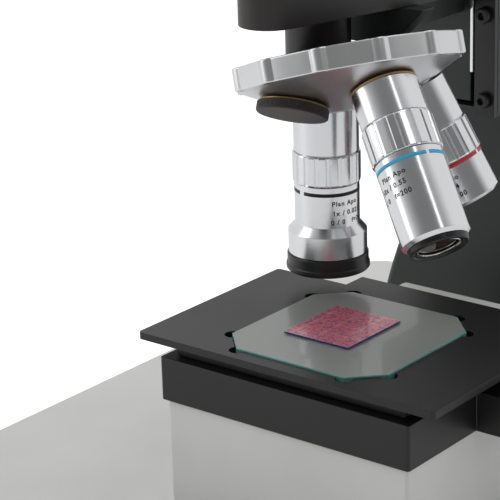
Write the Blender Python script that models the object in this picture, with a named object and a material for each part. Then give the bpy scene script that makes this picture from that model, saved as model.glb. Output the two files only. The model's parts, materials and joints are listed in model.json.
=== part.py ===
"""Measuring microscope with a tilted four-port objective turret, a glass-topped XY stage and a rack focus.

World frame: metres, +Z up, +X to the operator's right, -Y towards the operator.
The origin is the centre of the footprint at the height of the surface that the feet stand on.
"""
import math

import bmesh
import bpy
from mathutils import Matrix, Vector

MM = 0.001
GAP = 0.3 * MM            # between two pieces that touch
BORE_GAP = 0.3 * MM       # radial, between a shaft and its hole
SIDES = 26                # facets of a large round piece
FINE = 16                 # facets of a small round piece

# ---- stand ----
BASE_WIDTH = 320 * MM
BASE_BACK = 220 * MM      # the rear face of the base, and of the whole object
BASE_FRONT = -216 * MM
CONTROL_REACH = 4 * MM    # how far the dial stands out of the front face
FOOT_HEIGHT = 8 * MM
FOOT_RADIUS = 16 * MM
BASE_TOP = 60 * MM
BASE_WALL = 9 * MM
BASE_CORNER = 24 * MM
COLUMN_FRONT = 100 * MM
COLUMN_DEPTH = 105 * MM
COLUMN_HALF = 43.5 * MM
COLUMN_TOP = 470 * MM
COLUMN_WALL = 12 * MM
FLARE_START = 158 * MM    # height below which the column's sides spread
FLARE_HALF = 70 * MM      # half width of the column's foot

# ---- optical layout ----
OPTIC_Y = -40 * MM        # the optical axis stands at X = 0 and this Y
SHOULDER_Z = 245 * MM     # mounting shoulder of the objective in use
PARFOCAL = 95 * MM        # shoulder to specimen plane
TURRET_LEAN = math.radians(19.63)     # turret axis against the vertical, and cone half angle
TURRET_HEADING = math.radians(-26.5)  # compass direction of the lean, from +X towards +Y
APEX_RISE = 94.55 * MM    # all objective axes and the turret axis meet this far above the shoulder
PORTS = 4

# ---- turret disc: distances measured down the turret axis from the apex ----
DISC_TOP = 67.7 * MM
DISC_RIM = 79.05 * MM
DISC_RADIUS = 54.6 * MM
RIB_COUNT = 12
RIB_RISE = 1.9 * MM
RIB_PHASE = math.radians(20)
RECESS_RADIUS = 42 * MM
RECESS_FLOOR = 74.4 * MM
PIVOT_RADIUS = 9 * MM
PIVOT_END = 86 * MM
PORT_BORE = 11 * MM
THREAD_RADIUS = 10.4 * MM
THREAD_LENGTH = 4.2 * MM

# ---- objectives: distances down each barrel from its shoulder ----
BARREL_RADIUS = 16.2 * MM
GRIP_RADIUS = 17 * MM
GRIP_RIBS = 18
FLUTE_DEPTH = 0.7 * MM
LOW_LENGTH = 84 * MM
LOW_GRIP = (23.3 * MM, 38.4 * MM)
LOW_FLANGE = (59.6 * MM, 63.7 * MM, 75.0 * MM)
LOW_FLANGE_RADIUS = 19.7 * MM
HOOD_RADIUS = 20.4 * MM
HOOD_LIP = 21 * MM
HIGH_LENGTH = 82 * MM
HIGH_GRIP = (19.2 * MM, 36.6 * MM)
MID_LENGTH = 61 * MM
MID_GRIP = (22.7 * MM, 39.2 * MM)
BEZEL_DEPTH = 3 * MM
LENS_THICK = 3.5 * MM
SPACER_THICK = 1.0 * MM   # brass parfocal washer under the high-power barrel
PLUG_RADIUS = 17.2 * MM
PLUG_THICK = 5.5 * MM

# ---- focus drive ----
GUIDE_HALF = 36 * MM
GUIDE_FRONT = 60 * MM
GUIDE_BOTTOM = 220.5 * MM
GUIDE_TOP = 452 * MM
CHANNEL_HALF = 22 * MM
CHANNEL_DEPTH = 34 * MM
CHANNEL_LEDGE = 224 * MM
RAIL_THICK = 1.8 * MM
GUIDE_PLATE_HALF = 23.8 * MM   # inner edge of each cover plate
GUIDE_PLATE_THICK = 3 * MM
SCREW_HEIGHTS = (229.2 * MM, 274 * MM)
SCREW_RADIUS = 4.2 * MM
SCREW_HEAD = 3.4 * MM
CARRIAGE_BOTTOM = 226.5 * MM
CARRIAGE_TOP = 378 * MM
CARRIAGE_DEPTH = 24 * MM
TOOTH_MODULE = 1.0 * MM
PINION_TEETH = 18
PINION_Z = 306 * MM
RACK_WIDTH = 12 * MM
RACK_BODY = 2.6 * MM
COARSE_SHAFT = 6 * MM
FINE_SHAFT = 3 * MM
COARSE_RADIUS = 24 * MM
COARSE_WIDTH = 20 * MM
FINE_RADIUS = 15 * MM
FINE_WIDTH = 14 * MM

# ---- head ----
HEAD_BOTTOM = 292.5 * MM
HEAD_HEIGHT = 70 * MM
HEAD_NOSE_Y = -42 * MM    # centre of the nose's curve, from the optical axis
HEAD_NOSE = 15 * MM
HEAD_HALF = 37 * MM
HEAD_SPREAD = math.radians(75)
HEAD_BACK = 54 * MM
HEAD_TONGUE = 18 * MM    # half width of the part that reaches between the cover plates
LIGHT_BORE = 13 * MM
MOUNT_RADIUS = 16 * MM
MOUNT_OFFSET = -5 * MM
BRACKET_FRONT = -20 * MM
BRACKET_THICK = 10 * MM
BRACKET_HALF = 44 * MM
BRACKET_DROP = 19.5 * MM
BRACKET_NECK = 15 * MM
LAMP_Z = 333 * MM
LAMP_BORE = 11 * MM
FILTER_X = 23 * MM
FILTER_THICK = 8 * MM
FILTER_HALF = 12.5 * MM
FILTER_REACH = 34 * MM
LAMP_RADIUS = 24 * MM
LAMP_LENGTH = 66 * MM
LEVER_LENGTH = 14 * MM
COLLAR_RADIUS = 18 * MM
COLLAR_LENGTH = 14 * MM

# ---- viewing tubes ----
VIEW_TILT = math.radians(25)
PUPIL_HALF = 32 * MM
ARM_THICK = 20 * MM
ARM_RADIUS = 21 * MM
HINGE_RADIUS = 16 * MM
TUBE_RADIUS = 14.5 * MM
TUBE_LENGTH = 34 * MM
EYEPIECE_LENGTH = 36 * MM
BINOCULAR_HEIGHT = 62 * MM

# ---- stage ----
STAGE_X = 46.25 * MM      # centre of the stage plate, from the optical axis
STAGE_Y = -46.25 * MM
PLATE_WIDTH = 170 * MM
PLATE_DEPTH = 109.5 * MM
PLATE_THICK = 3.6 * MM
GLASS_WIDTH = 91 * MM
GLASS_DEPTH = 92.6 * MM
GLASS_CUT = 14.4 * MM
GLASS_THICK = 5 * MM
GLASS_PROUD = 0.8 * MM
RELIEF_RADIUS = 4.2 * MM
CHIP_WIDTH = 37.5 * MM
CHIP_DEPTH = 42.5 * MM
CHIP_THICK = 0.8 * MM
CHIP_SHIFT = (-5.7 * MM, 2.8 * MM)
SLIDE_HEIGHT = 5.6 * MM
SLIDE_INSET = 6 * MM
SADDLE_HALF = 71.75 * MM
SADDLE_HEIGHT = 22 * MM
BED_FLOOR = 8 * MM
BED_INSET = 2 * MM
BED_BACK = 62 * MM
RAIL_COVER_DEPTH = 17 * MM
DRIVE_RADIUS = 17 * MM
DRIVE_X = 141 * MM
DRIVE_Y = -62 * MM
WING_FRONT = -86.5 * MM
WING_BACK = -33 * MM
DRIVE_SHAFT = 3 * MM
WELL_HALF = 34 * MM       # half side of the light well through the stage

# ---- derived places ----
GLASS_TOP = SHOULDER_Z - PARFOCAL
PLATE_TOP = GLASS_TOP - GLASS_PROUD
PLATE_BOTTOM = PLATE_TOP - PLATE_THICK
SLIDE_TOP = PLATE_BOTTOM - GAP
SADDLE_TOP = SLIDE_TOP - SLIDE_HEIGHT - GAP
SADDLE_BOTTOM = SADDLE_TOP - SADDLE_HEIGHT
STAGE_CENTRE = Vector((STAGE_X, OPTIC_Y + STAGE_Y, 0))
APEX = Vector((0, OPTIC_Y, SHOULDER_Z + APEX_RISE))
DOWN = Vector((0, 0, -1))
TURRET_AXIS = Vector((
    math.sin(TURRET_LEAN) * math.cos(TURRET_HEADING),
    math.sin(TURRET_LEAN) * math.sin(TURRET_HEADING),
    -math.cos(TURRET_LEAN),
))
PINION_RADIUS = TOOTH_MODULE * PINION_TEETH / 2
CARRIAGE_BACK = GUIDE_FRONT + CARRIAGE_DEPTH
RACK_PITCH_Y = CARRIAGE_BACK + GAP + RACK_BODY + TOOTH_MODULE
PINION_Y = RACK_PITCH_Y + PINION_RADIUS
HEAD_TOP = HEAD_BOTTOM + HEAD_HEIGHT


# ---- materials ----
def paint(name, colour, roughness, metallic=0.0):
    made = bpy.data.materials.new(name)
    made.use_nodes = True
    shader = made.node_tree.nodes["Principled BSDF"]
    shader.inputs["Base Color"].default_value = (*colour, 1.0)
    shader.inputs["Roughness"].default_value = roughness
    shader.inputs["Metallic"].default_value = metallic
    made.diffuse_color = (*colour, 1.0)
    return made


def all_materials():
    return {
        "light_paint": paint("light_paint", (0.80, 0.80, 0.78), 0.5),
        "bed_paint": paint("bed_paint", (0.80, 0.80, 0.78), 0.5),
        "column_paint": paint("column_paint", (0.09, 0.10, 0.095), 0.45),
        "head_paint": paint("head_paint", (0.025, 0.023, 0.022), 0.4),
        "black_anodised": paint("black_anodised", (0.02, 0.02, 0.021), 0.4, 0.3),
        "satin_aluminium": paint("satin_aluminium", (0.72, 0.72, 0.73), 0.32, 1.0),
        "steel": paint("steel", (0.6, 0.6, 0.61), 0.25, 1.0),
        "brass": paint("brass", (0.62, 0.42, 0.16), 0.3, 1.0),
        "rubber": paint("rubber", (0.02, 0.02, 0.02), 0.8),
        "black_plastic": paint("black_plastic", (0.05, 0.04, 0.038), 0.5),
        "lens_glass": paint("lens_glass", (0.08, 0.03, 0.025), 0.05),
        "stage_glass": paint("stage_glass", (0.55, 0.62, 0.6), 0.05),
        "chip": paint("chip", (0.7, 0.15, 0.2), 0.3),
    }


# ---- building blocks ----
def remove_everything():
    for thing in list(bpy.data.objects):
        bpy.data.objects.remove(thing, do_unlink=True)


def made_object(name, mesh):
    """Turn a finished bmesh into an object of its own."""
    bmesh.ops.recalc_face_normals(mesh, faces=mesh.faces)
    data = bpy.data.meshes.new(name)
    mesh.to_mesh(data)
    mesh.free()
    thing = bpy.data.objects.new(name, data)
    bpy.context.scene.collection.objects.link(thing)
    return thing


def circle(radius, sides=FINE, centre=(0, 0), phase=0.0):
    steps = [phase + 2 * math.pi * k / sides for k in range(sides)]
    return [(centre[0] + radius * math.cos(a), centre[1] + radius * math.sin(a)) for a in steps]


def arc(centre, radius, start, end, steps):
    angles = [math.radians(start + (end - start) * k / steps) for k in range(steps + 1)]
    return [(centre[0] + radius * math.cos(a), centre[1] + radius * math.sin(a)) for a in angles]


def rounded_rectangle(low, high, radius, steps=4):
    (x0, y0), (x1, y1) = low, high
    corners = ((x1, y1, 0), (x0, y1, 90), (x0, y0, 180), (x1, y0, 270))
    outline = []
    for x, y, start in corners:
        centre = (x - math.copysign(radius, x - (x0 + x1) / 2),
                  y - math.copysign(radius, y - (y0 + y1) / 2))
        outline += arc(centre, radius, start, start + 90, steps)
    return outline


def loft(name, sections):
    """Closed solid through outlines of equal length, each a list of 3-D points."""
    mesh = bmesh.new()
    loops = [[mesh.verts.new(point) for point in section] for section in sections]
    count = len(loops[0])
    for first, second in zip(loops, loops[1:]):
        for k in range(count):
            j = (k + 1) % count
            mesh.faces.new((first[k], first[j], second[j], second[k]))
    mesh.faces.new(loops[0])
    mesh.faces.new(loops[-1])
    return made_object(name, mesh)


def prism(name, outline, low, high):
    """Outline in X and Y, between two heights."""
    return loft(name, [[(x, y, z) for x, y in outline] for z in (low, high)])


def prism_along_y(name, outline, low, high):
    """Outline in X and Z, between two places in Y."""
    return loft(name, [[(x, y, z) for x, z in outline] for y in (low, high)])


def prism_along_x(name, outline, low, high):
    """Outline in Y and Z, between two places in X."""
    return loft(name, [[(x, y, z) for y, z in outline] for x in (low, high)])


def box(name, low, high, rounding=0.0):
    """Box between two corners, with its upright edges rounded."""
    if rounding:
        outline = rounded_rectangle(low[:2], high[:2], rounding)
    else:
        outline = [(low[0], low[1]), (high[0], low[1]), (high[0], high[1]), (low[0], high[1])]
    return prism(name, outline, low[2], high[2])


def turned(name, outline, sides=SIDES):
    """Solid turned round Z from a closed outline of (radius, height); radius 0 is the axis."""
    mesh = bmesh.new()
    rings = []
    for radius, height in outline:
        if radius == 0:
            rings.append([mesh.verts.new((0, 0, height))])
        else:
            rings.append([mesh.verts.new((x, y, height)) for x, y in circle(radius, sides)])
    for first, second in zip(rings, rings[1:] + rings[:1]):
        if len(first) == 1 and len(second) == 1:
            continue
        for k in range(sides):
            corners = (
                first[k % len(first)],
                first[(k + 1) % sides % len(first)],
                second[(k + 1) % sides % len(second)],
                second[k % len(second)],
            )
            mesh.faces.new(list(dict.fromkeys(corners)))
    return made_object(name, mesh)


def rod(name, radius, low, high, sides=FINE):
    return turned(name, [(0, low), (radius, low), (radius, high), (0, high)], sides)


def tube(name, inner, outer, low, high, sides=SIDES):
    return turned(name, [(inner, low), (outer, low), (outer, high), (inner, high)], sides)


def reshape(piece, operation, tools):
    """Cut the tools from the piece, or join them to it, and drop the tools."""
    for tool in tools:
        modifier = piece.modifiers.new(operation.lower(), "BOOLEAN")
        modifier.operation = operation
        modifier.solver = "EXACT"
        modifier.object = tool
    graph = bpy.context.evaluated_depsgraph_get()
    graph.update()
    result = bpy.data.meshes.new_from_object(piece.evaluated_get(graph))
    piece.modifiers.clear()
    piece.data = result
    for tool in tools:
        bpy.data.objects.remove(tool, do_unlink=True)
    return piece


def cut(piece, *tools):
    return reshape(piece, "DIFFERENCE", tools)


def join(piece, *tools):
    return reshape(piece, "UNION", tools)


def moved(piece, matrix):
    piece.data.transform(matrix)
    return piece


def shifted(piece, x=0.0, y=0.0, z=0.0):
    return moved(piece, Matrix.Translation((x, y, z)))


def looking_along(direction, place=(0, 0, 0), up=(0, 0, 1)):
    """Matrix that turns local -Z to a direction and puts the origin at a place."""
    back = -Vector(direction).normalized()
    side = Vector(up).cross(back)
    side = side.normalized() if side.length > 1e-6 else Vector((1, 0, 0))
    return Matrix.Translation(place) @ Matrix((side, back.cross(side), back)).transposed().to_4x4()


class Assembly:
    """Keeps the finishes and the joint frames, and puts each finished piece in its place."""

    def __init__(self):
        self.finishes = all_materials()
        self.frames = {}

    def joint_frame(self, name, matrix):
        empty = bpy.data.objects.new(name, None)
        empty.matrix_basis = matrix
        bpy.context.scene.collection.objects.link(empty)
        self.frames[name] = (empty, matrix)

    def add(self, piece, finish, matrix=None, frame=None):
        """Place a piece by its world matrix, under the empty of its joint where it has one."""
        piece.data.materials.clear()
        piece.data.materials.append(self.finishes[finish])
        piece.data.shade_smooth()
        piece.data.set_sharp_from_angle(angle=math.radians(30))
        world = matrix or Matrix.Identity(4)
        if frame:
            empty, base = self.frames[frame]
            piece.parent = empty
            piece.matrix_basis = base.inverted() @ world
        else:
            piece.matrix_basis = world
        return piece


# ---- stand ----
def base_casting(kit):
    half = BASE_WIDTH / 2
    outline = rounded_rectangle((-half, BASE_FRONT), (half, BASE_BACK), BASE_CORNER)
    body = prism("base_casting", outline, FOOT_HEIGHT, BASE_TOP)
    inner_low = (-half + BASE_WALL, BASE_FRONT + BASE_WALL, FOOT_HEIGHT - BASE_WALL)
    inner_high = (half - BASE_WALL, BASE_BACK - BASE_WALL, BASE_TOP - BASE_WALL)
    pocket = box("pocket", inner_low, inner_high, BASE_CORNER - BASE_WALL)
    solid = [box("column_pad", (-60 * MM, COLUMN_FRONT, 0), (60 * MM, BASE_BACK, BASE_TOP))]
    for x, y in foot_places():
        solid.append(shifted(rod("foot_pad", FOOT_RADIUS + 5 * MM, 0, BASE_TOP), x=x, y=y))
    cut(pocket, *solid)
    reach = BASE_WALL * 3
    dial = moved(rod("dial_hole", 4 * MM, -reach, reach), dial_place())
    low, high = inlet_corners(GAP)
    inlet = box("inlet_hole", low, (high[0], high[1] + reach, high[2]))
    switch = box("switch_hole", *switch_corners(GAP))
    kit.add(cut(body, pocket, dial, inlet, switch), "light_paint")


def foot_places():
    """Front pair first, and the left one of each pair before the right one."""
    inset = FOOT_RADIUS + BASE_WALL
    x = BASE_WIDTH / 2 - inset
    return [(side * x, y) for y in (BASE_FRONT + inset, BASE_BACK - inset) for side in (-1, 1)]


def feet(kit):
    names = ("foot_front_left", "foot_front_right", "foot_rear_left", "foot_rear_right")
    for name, (x, y) in zip(names, foot_places()):
        foot = turned(name, [
            (0, 0), (FOOT_RADIUS - 2 * MM, 0), (FOOT_RADIUS, 2 * MM),
            (FOOT_RADIUS, FOOT_HEIGHT - GAP), (0, FOOT_HEIGHT - GAP)], FINE)
        kit.add(foot, "rubber", Matrix.Translation((x, y, 0)))


def inlet_corners(grow=0.0):
    centre_x, centre_z = -90 * MM, 34 * MM
    half_x, half_z, depth = 14 * MM + grow, 10 * MM + grow, 22 * MM + grow
    low = (centre_x - half_x, BASE_BACK - depth, centre_z - half_z)
    return low, (centre_x + half_x, BASE_BACK - 0.5 * MM, centre_z + half_z)


def switch_corners(grow=0.0):
    centre_x, centre_z = 110 * MM, 36 * MM
    low = (centre_x - 11 * MM - grow, BASE_FRONT - 6 * MM, centre_z - 7 * MM - grow)
    high = (centre_x + 11 * MM + grow, BASE_FRONT + BASE_WALL * 2, centre_z + 7 * MM + grow)
    return low, high


def electrics(kit):
    low, high = inlet_corners()
    socket = box("inlet_socket", low, high)
    mouth_low = (low[0] + 2 * MM, low[1] + 5 * MM, low[2] + 2 * MM)
    mouth_high = (high[0] - 2 * MM, high[1] + 5 * MM, high[2] - 2 * MM)
    kit.add(cut(socket, box("mouth", mouth_low, mouth_high)), "black_plastic")
    low, high = switch_corners(-GAP)
    middle = Vector(((low[0] + high[0]) / 2, BASE_FRONT + 6 * MM, (low[2] + high[2]) / 2))
    kit.joint_frame("switch_axis", Matrix.Translation(middle))
    half_x, half_z = 10 * MM, 6 * MM
    outline = [(-half_x, -7 * MM), (0, -5.4 * MM), (half_x, -8.6 * MM), (half_x - 2 * MM, 5 * MM),
               (-half_x + 2 * MM, 5 * MM)]
    rocker = prism("power_switch", outline, -half_z, half_z)
    kit.add(rocker, "black_plastic", Matrix.Translation(middle), "switch_axis")


def dial_place():
    return looking_along((0, 1, 0), (-110 * MM, BASE_FRONT, 36 * MM))


def brightness_dial(kit):
    place = dial_place()
    kit.joint_frame("dial_axis", place)
    depth = 14 * MM
    knob = turned("brightness_dial", [
        (0, -depth), (3.4 * MM, -depth), (3.4 * MM, GAP), (12 * MM, GAP),
        (12 * MM, CONTROL_REACH - 1 * MM), (11 * MM, CONTROL_REACH), (0, CONTROL_REACH)])
    kit.add(knob, "black_plastic", place, "dial_axis")


def column_half(z):
    """Half width of the column: straight above, spreading as a quarter wave towards the foot."""
    if z >= FLARE_START:
        return COLUMN_HALF
    share = (FLARE_START - z) / (FLARE_START - BASE_TOP)
    return COLUMN_HALF + (FLARE_HALF - COLUMN_HALF) * math.sin(share * math.pi / 2) ** 1.15


def column(kit):
    foot = BASE_TOP + GAP
    heights = [foot + (FLARE_START - foot) * k / 8 for k in range(9)] + [COLUMN_TOP]
    back = COLUMN_FRONT + COLUMN_DEPTH
    sections = []
    for z in heights:
        half = column_half(z)
        outline = rounded_rectangle((-half, COLUMN_FRONT), (half, back), 5 * MM, 3)
        sections.append([(x, y, z) for x, y in outline])
    body = loft("column", sections)
    shaft = moved(rod("shaft_hole", COARSE_SHAFT + BORE_GAP, -80 * MM, 80 * MM), across_x())
    gear = box("gear_pocket",
               (-RACK_WIDTH, COLUMN_FRONT - 10 * MM, PINION_Z - 14 * MM),
               (RACK_WIDTH, PINION_Y + PINION_RADIUS + 4 * MM, PINION_Z + 14 * MM))
    core = box("core", (-COLUMN_HALF + COLUMN_WALL, PINION_Y + PINION_RADIUS + COLUMN_WALL, 0),
               (COLUMN_HALF - COLUMN_WALL, back - COLUMN_WALL, COLUMN_TOP - COLUMN_WALL))
    kit.add(cut(body, shaft, gear, core), "column_paint")


def across_x():
    return looking_along((-1, 0, 0), (0, PINION_Y, PINION_Z))


def guide(kit):
    body = box("guide_block", (-GUIDE_HALF, GUIDE_FRONT, GUIDE_BOTTOM),
               (GUIDE_HALF, COLUMN_FRONT - GAP, GUIDE_TOP))
    channel = box("channel", (-CHANNEL_HALF, GUIDE_FRONT - 5 * MM, CHANNEL_LEDGE),
                  (CHANNEL_HALF, GUIDE_FRONT + CHANNEL_DEPTH, GUIDE_TOP + 5 * MM))
    gear = box("gear_slot", (-RACK_WIDTH, GUIDE_FRONT + 20 * MM, PINION_Z - 14 * MM),
               (RACK_WIDTH, COLUMN_FRONT + 5 * MM, PINION_Z + 14 * MM))
    shaft = moved(rod("shaft_hole", COARSE_SHAFT + BORE_GAP, -80 * MM, 80 * MM), across_x())
    kit.add(cut(body, channel, gear, shaft), "column_paint")
    for side, sign in (("left", -1), ("right", 1)):
        inner = CHANNEL_HALF - GAP - RAIL_THICK
        xs = sorted((sign * inner, sign * (inner + RAIL_THICK)))
        rail = box(f"guide_rail_{side}", (xs[0], GUIDE_FRONT - 1.5 * MM, CARRIAGE_BOTTOM + 16 * MM),
                   (xs[1], GUIDE_FRONT + CARRIAGE_DEPTH, GUIDE_TOP - 4 * MM))
        kit.add(rail, "steel")
        xs = sorted((sign * GUIDE_PLATE_HALF, sign * GUIDE_HALF))
        front = GUIDE_FRONT - GAP - GUIDE_PLATE_THICK
        plate = box(f"guide_plate_{side}", (xs[0], front, GUIDE_BOTTOM),
                    (xs[1], GUIDE_FRONT - GAP, GUIDE_TOP))
        kit.add(plate, "head_paint")
    for number, z in enumerate(SCREW_HEIGHTS, 1):
        place = looking_along((0, 1, 0), ((GUIDE_PLATE_HALF + GUIDE_HALF) / 2, front - GAP, z))
        kit.add(cap_screw(f"guide_screw_{number}"), "steel", place)


def cap_screw(name):
    """Socket head with its hexagon hole; the local +Z side is the head's face."""
    head = turned(name, [(0, 0), (SCREW_RADIUS, 0), (SCREW_RADIUS, SCREW_HEAD - 0.5 * MM),
                         (SCREW_RADIUS - 0.5 * MM, SCREW_HEAD), (0, SCREW_HEAD)], 16)
    return cut(head, prism("hexagon", circle(2.1 * MM, 6), SCREW_HEAD - 2.2 * MM, SCREW_HEAD + 1 * MM))


# ---- focus drive ----
def pinion_outline():
    """Straight-flanked gear teeth, thinned for running clearance."""
    points = []
    step = 2 * math.pi / PINION_TEETH
    root, tip = PINION_RADIUS - 1.25 * TOOTH_MODULE, PINION_RADIUS + 0.75 * TOOTH_MODULE
    for k in range(PINION_TEETH):
        middle = k * step
        for radius, share in ((root, -0.27), (tip, -0.10), (tip, 0.10), (root, 0.27)):
            angle = middle + share * step
            points.append((radius * math.cos(angle), radius * math.sin(angle)))
    return points


def focus_drive(kit):
    place = across_x()
    kit.joint_frame("coarse_axis", place)
    kit.joint_frame("fine_axis", place)
    knob_start = COLUMN_HALF + 3 * MM
    shaft = tube("coarse_shaft", FINE_SHAFT + BORE_GAP, COARSE_SHAFT, -knob_start - 6 * MM,
                 knob_start + 6 * MM,
                 FINE)
    gear = prism("gear", pinion_outline(), -RACK_WIDTH / 2, RACK_WIDTH / 2)
    hole = rod("hole", FINE_SHAFT + BORE_GAP, -RACK_WIDTH, RACK_WIDTH)
    kit.add(join(shaft, cut(gear, hole)), "steel", place, "coarse_axis")
    reach = knob_start + COARSE_WIDTH + FINE_WIDTH - 4 * MM
    for side, sign in (("left", 1), ("right", -1)):
        turn = place @ (Matrix.Identity(4) if sign > 0 else Matrix.Rotation(math.pi, 4, "X"))
        start, end = knob_start, knob_start + COARSE_WIDTH
        coarse = turned(f"coarse_knob_{side}", [
            (COARSE_SHAFT + BORE_GAP, start), (COARSE_RADIUS - 1.5 * MM, start),
            (COARSE_RADIUS, start + 1.5 * MM),
            (COARSE_RADIUS, end - 1.5 * MM), (COARSE_RADIUS - 1.5 * MM, end),
            (FINE_SHAFT + 1 * MM, end),
            (FINE_SHAFT + 1 * MM, start + 7 * MM), (COARSE_SHAFT + BORE_GAP, start + 7 * MM)])
        kit.add(coarse, "head_paint", turn, "coarse_axis")
        start, end = end + 1 * MM, end + 1 * MM + FINE_WIDTH
        if side == "left":
            inside = [(0, -reach), (FINE_SHAFT, -reach), (FINE_SHAFT, start)]
        else:
            inside = [(0, reach + GAP), (FINE_SHAFT + BORE_GAP, reach + GAP),
                      (FINE_SHAFT + BORE_GAP, start)]
        fine = turned(f"fine_knob_{side}", inside + [
            (FINE_RADIUS - 1 * MM, start), (FINE_RADIUS, start + 1 * MM),
            (FINE_RADIUS, end - 1 * MM), (FINE_RADIUS - 1 * MM, end), (0, end)])
        kit.add(fine, "head_paint", turn, "fine_axis")


def carriage(kit):
    half = CHANNEL_HALF - RAIL_THICK - 2 * GAP
    kit.joint_frame("focus_axis", Matrix.Translation((0, OPTIC_Y, SHOULDER_Z)))
    plate = box("focus_carriage", (-half, GUIDE_FRONT, CARRIAGE_BOTTOM),
                (half, CARRIAGE_BACK, CARRIAGE_TOP))
    kit.add(plate, "column_paint", None, "focus_axis")
    pitch = math.pi * TOOTH_MODULE
    back = CARRIAGE_BACK + GAP
    root, tip = RACK_PITCH_Y - 1.2 * TOOTH_MODULE, RACK_PITCH_Y + 0.75 * TOOTH_MODULE
    count = int((CARRIAGE_TOP - CARRIAGE_BOTTOM - 6 * MM) / pitch) // 2
    outline = [(back, PINION_Z - (count + 0.5) * pitch)]
    for k in range(-count, count):
        middle = PINION_Z + (k + 0.5) * pitch
        if middle - pitch < CARRIAGE_BOTTOM or middle + pitch > CARRIAGE_TOP:
            continue
        for y, share in ((root, -0.25), (tip, -0.11), (tip, 0.11), (root, 0.25)):
            outline.append((y, middle + share * pitch))
    low, high = outline[1][1] - 1 * MM, outline[-1][1] + 1 * MM
    outline = [(back, low), (root, low)] + outline[1:] + [(root, high), (back, high)]
    kit.add(prism_along_x("focus_rack", outline, -RACK_WIDTH / 2, RACK_WIDTH / 2), "steel", None,
            "focus_axis")


# ---- head ----
def bracket(kit):
    top = HEAD_BOTTOM - GAP
    low = top - BRACKET_DROP
    slope = BRACKET_DROP
    outline = [(-BRACKET_HALF, top), (-BRACKET_HALF + slope, low), (BRACKET_HALF - slope, low),
               (BRACKET_HALF, top)]
    plate = prism_along_y("head_bracket", outline, BRACKET_FRONT, BRACKET_FRONT + BRACKET_THICK)
    neck = box("neck", (-BRACKET_NECK, BRACKET_FRONT + 2 * MM, low + 1 * MM),
               (BRACKET_NECK, GUIDE_FRONT - GAP, top))
    kit.add(join(plate, neck), "column_paint", None, "focus_axis")


def head_outline(shrink=0.0):
    nose_y = OPTIC_Y + HEAD_NOSE_Y
    radius = HEAD_NOSE - shrink
    swing = math.degrees(HEAD_SPREAD) - 90
    right = arc((0, nose_y), radius, 270, 360 + swing, 6)
    x, y = right[-1]
    run = (HEAD_HALF - shrink - x) / math.cos(HEAD_SPREAD)
    right.append((HEAD_HALF - shrink, y + run * math.sin(HEAD_SPREAD)))
    right.append((HEAD_HALF - shrink, HEAD_BACK - shrink))
    return right + [(-x, y) for x, y in reversed(right[1:])]


def lamp_place():
    """Origin where the lamp's beam meets the optical axis, local +Z towards the lamp on the left."""
    return looking_along((1, 0, 0), (0, OPTIC_Y, LAMP_Z))


def head(kit):
    body = prism("head_housing", head_outline(), HEAD_BOTTOM, HEAD_TOP)
    vertical = shifted(rod("light_bore", LIGHT_BORE, HEAD_BOTTOM - 5 * MM, HEAD_TOP + 5 * MM),
                       y=OPTIC_Y)
    sideways = moved(rod("lamp_bore", LAMP_BORE, 0, 90 * MM), lamp_place())
    collar = moved(rod("collar", COLLAR_RADIUS, HEAD_HALF / 2, HEAD_HALF + COLLAR_LENGTH, SIDES),
                   lamp_place())
    low = (-FILTER_X - FILTER_THICK, OPTIC_Y - 60 * MM, LAMP_Z - FILTER_HALF)
    high = (-FILTER_X, OPTIC_Y + LAMP_BORE + 3 * MM, LAMP_Z + FILTER_HALF)
    slot = box("filter_slot", low, high)
    tongue = box("tongue", (-HEAD_TONGUE, HEAD_BACK - 5 * MM, HEAD_BOTTOM + 2 * MM),
                 (HEAD_TONGUE, GUIDE_FRONT - GAP, HEAD_TOP - 2 * MM))
    kit.add(cut(join(body, collar, tongue), vertical, sideways, slot), "head_paint", None, "focus_axis")
    slider = box("filter_slider", (low[0] + GAP, OPTIC_Y - FILTER_REACH, low[2] + GAP),
                 (high[0] - GAP, high[1] - GAP, high[2] - GAP))
    hole = moved(rod("hole", LAMP_BORE - 3 * MM, 0, 90 * MM), lamp_place())
    kit.joint_frame("filter_axis", Matrix.Translation((-FILTER_X, OPTIC_Y, LAMP_Z)))
    kit.add(cut(slider, hole), "satin_aluminium", None, "filter_axis")
    mirror = box("half_mirror", (-9 * MM, -8 * MM, -0.8 * MM), (9 * MM, 8 * MM, 0.8 * MM))
    tilt = Matrix.Translation((0, OPTIC_Y, LAMP_Z)) @ Matrix.Rotation(math.radians(45), 4, "Y")
    kit.add(mirror, "lens_glass", tilt, "focus_axis")


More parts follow.
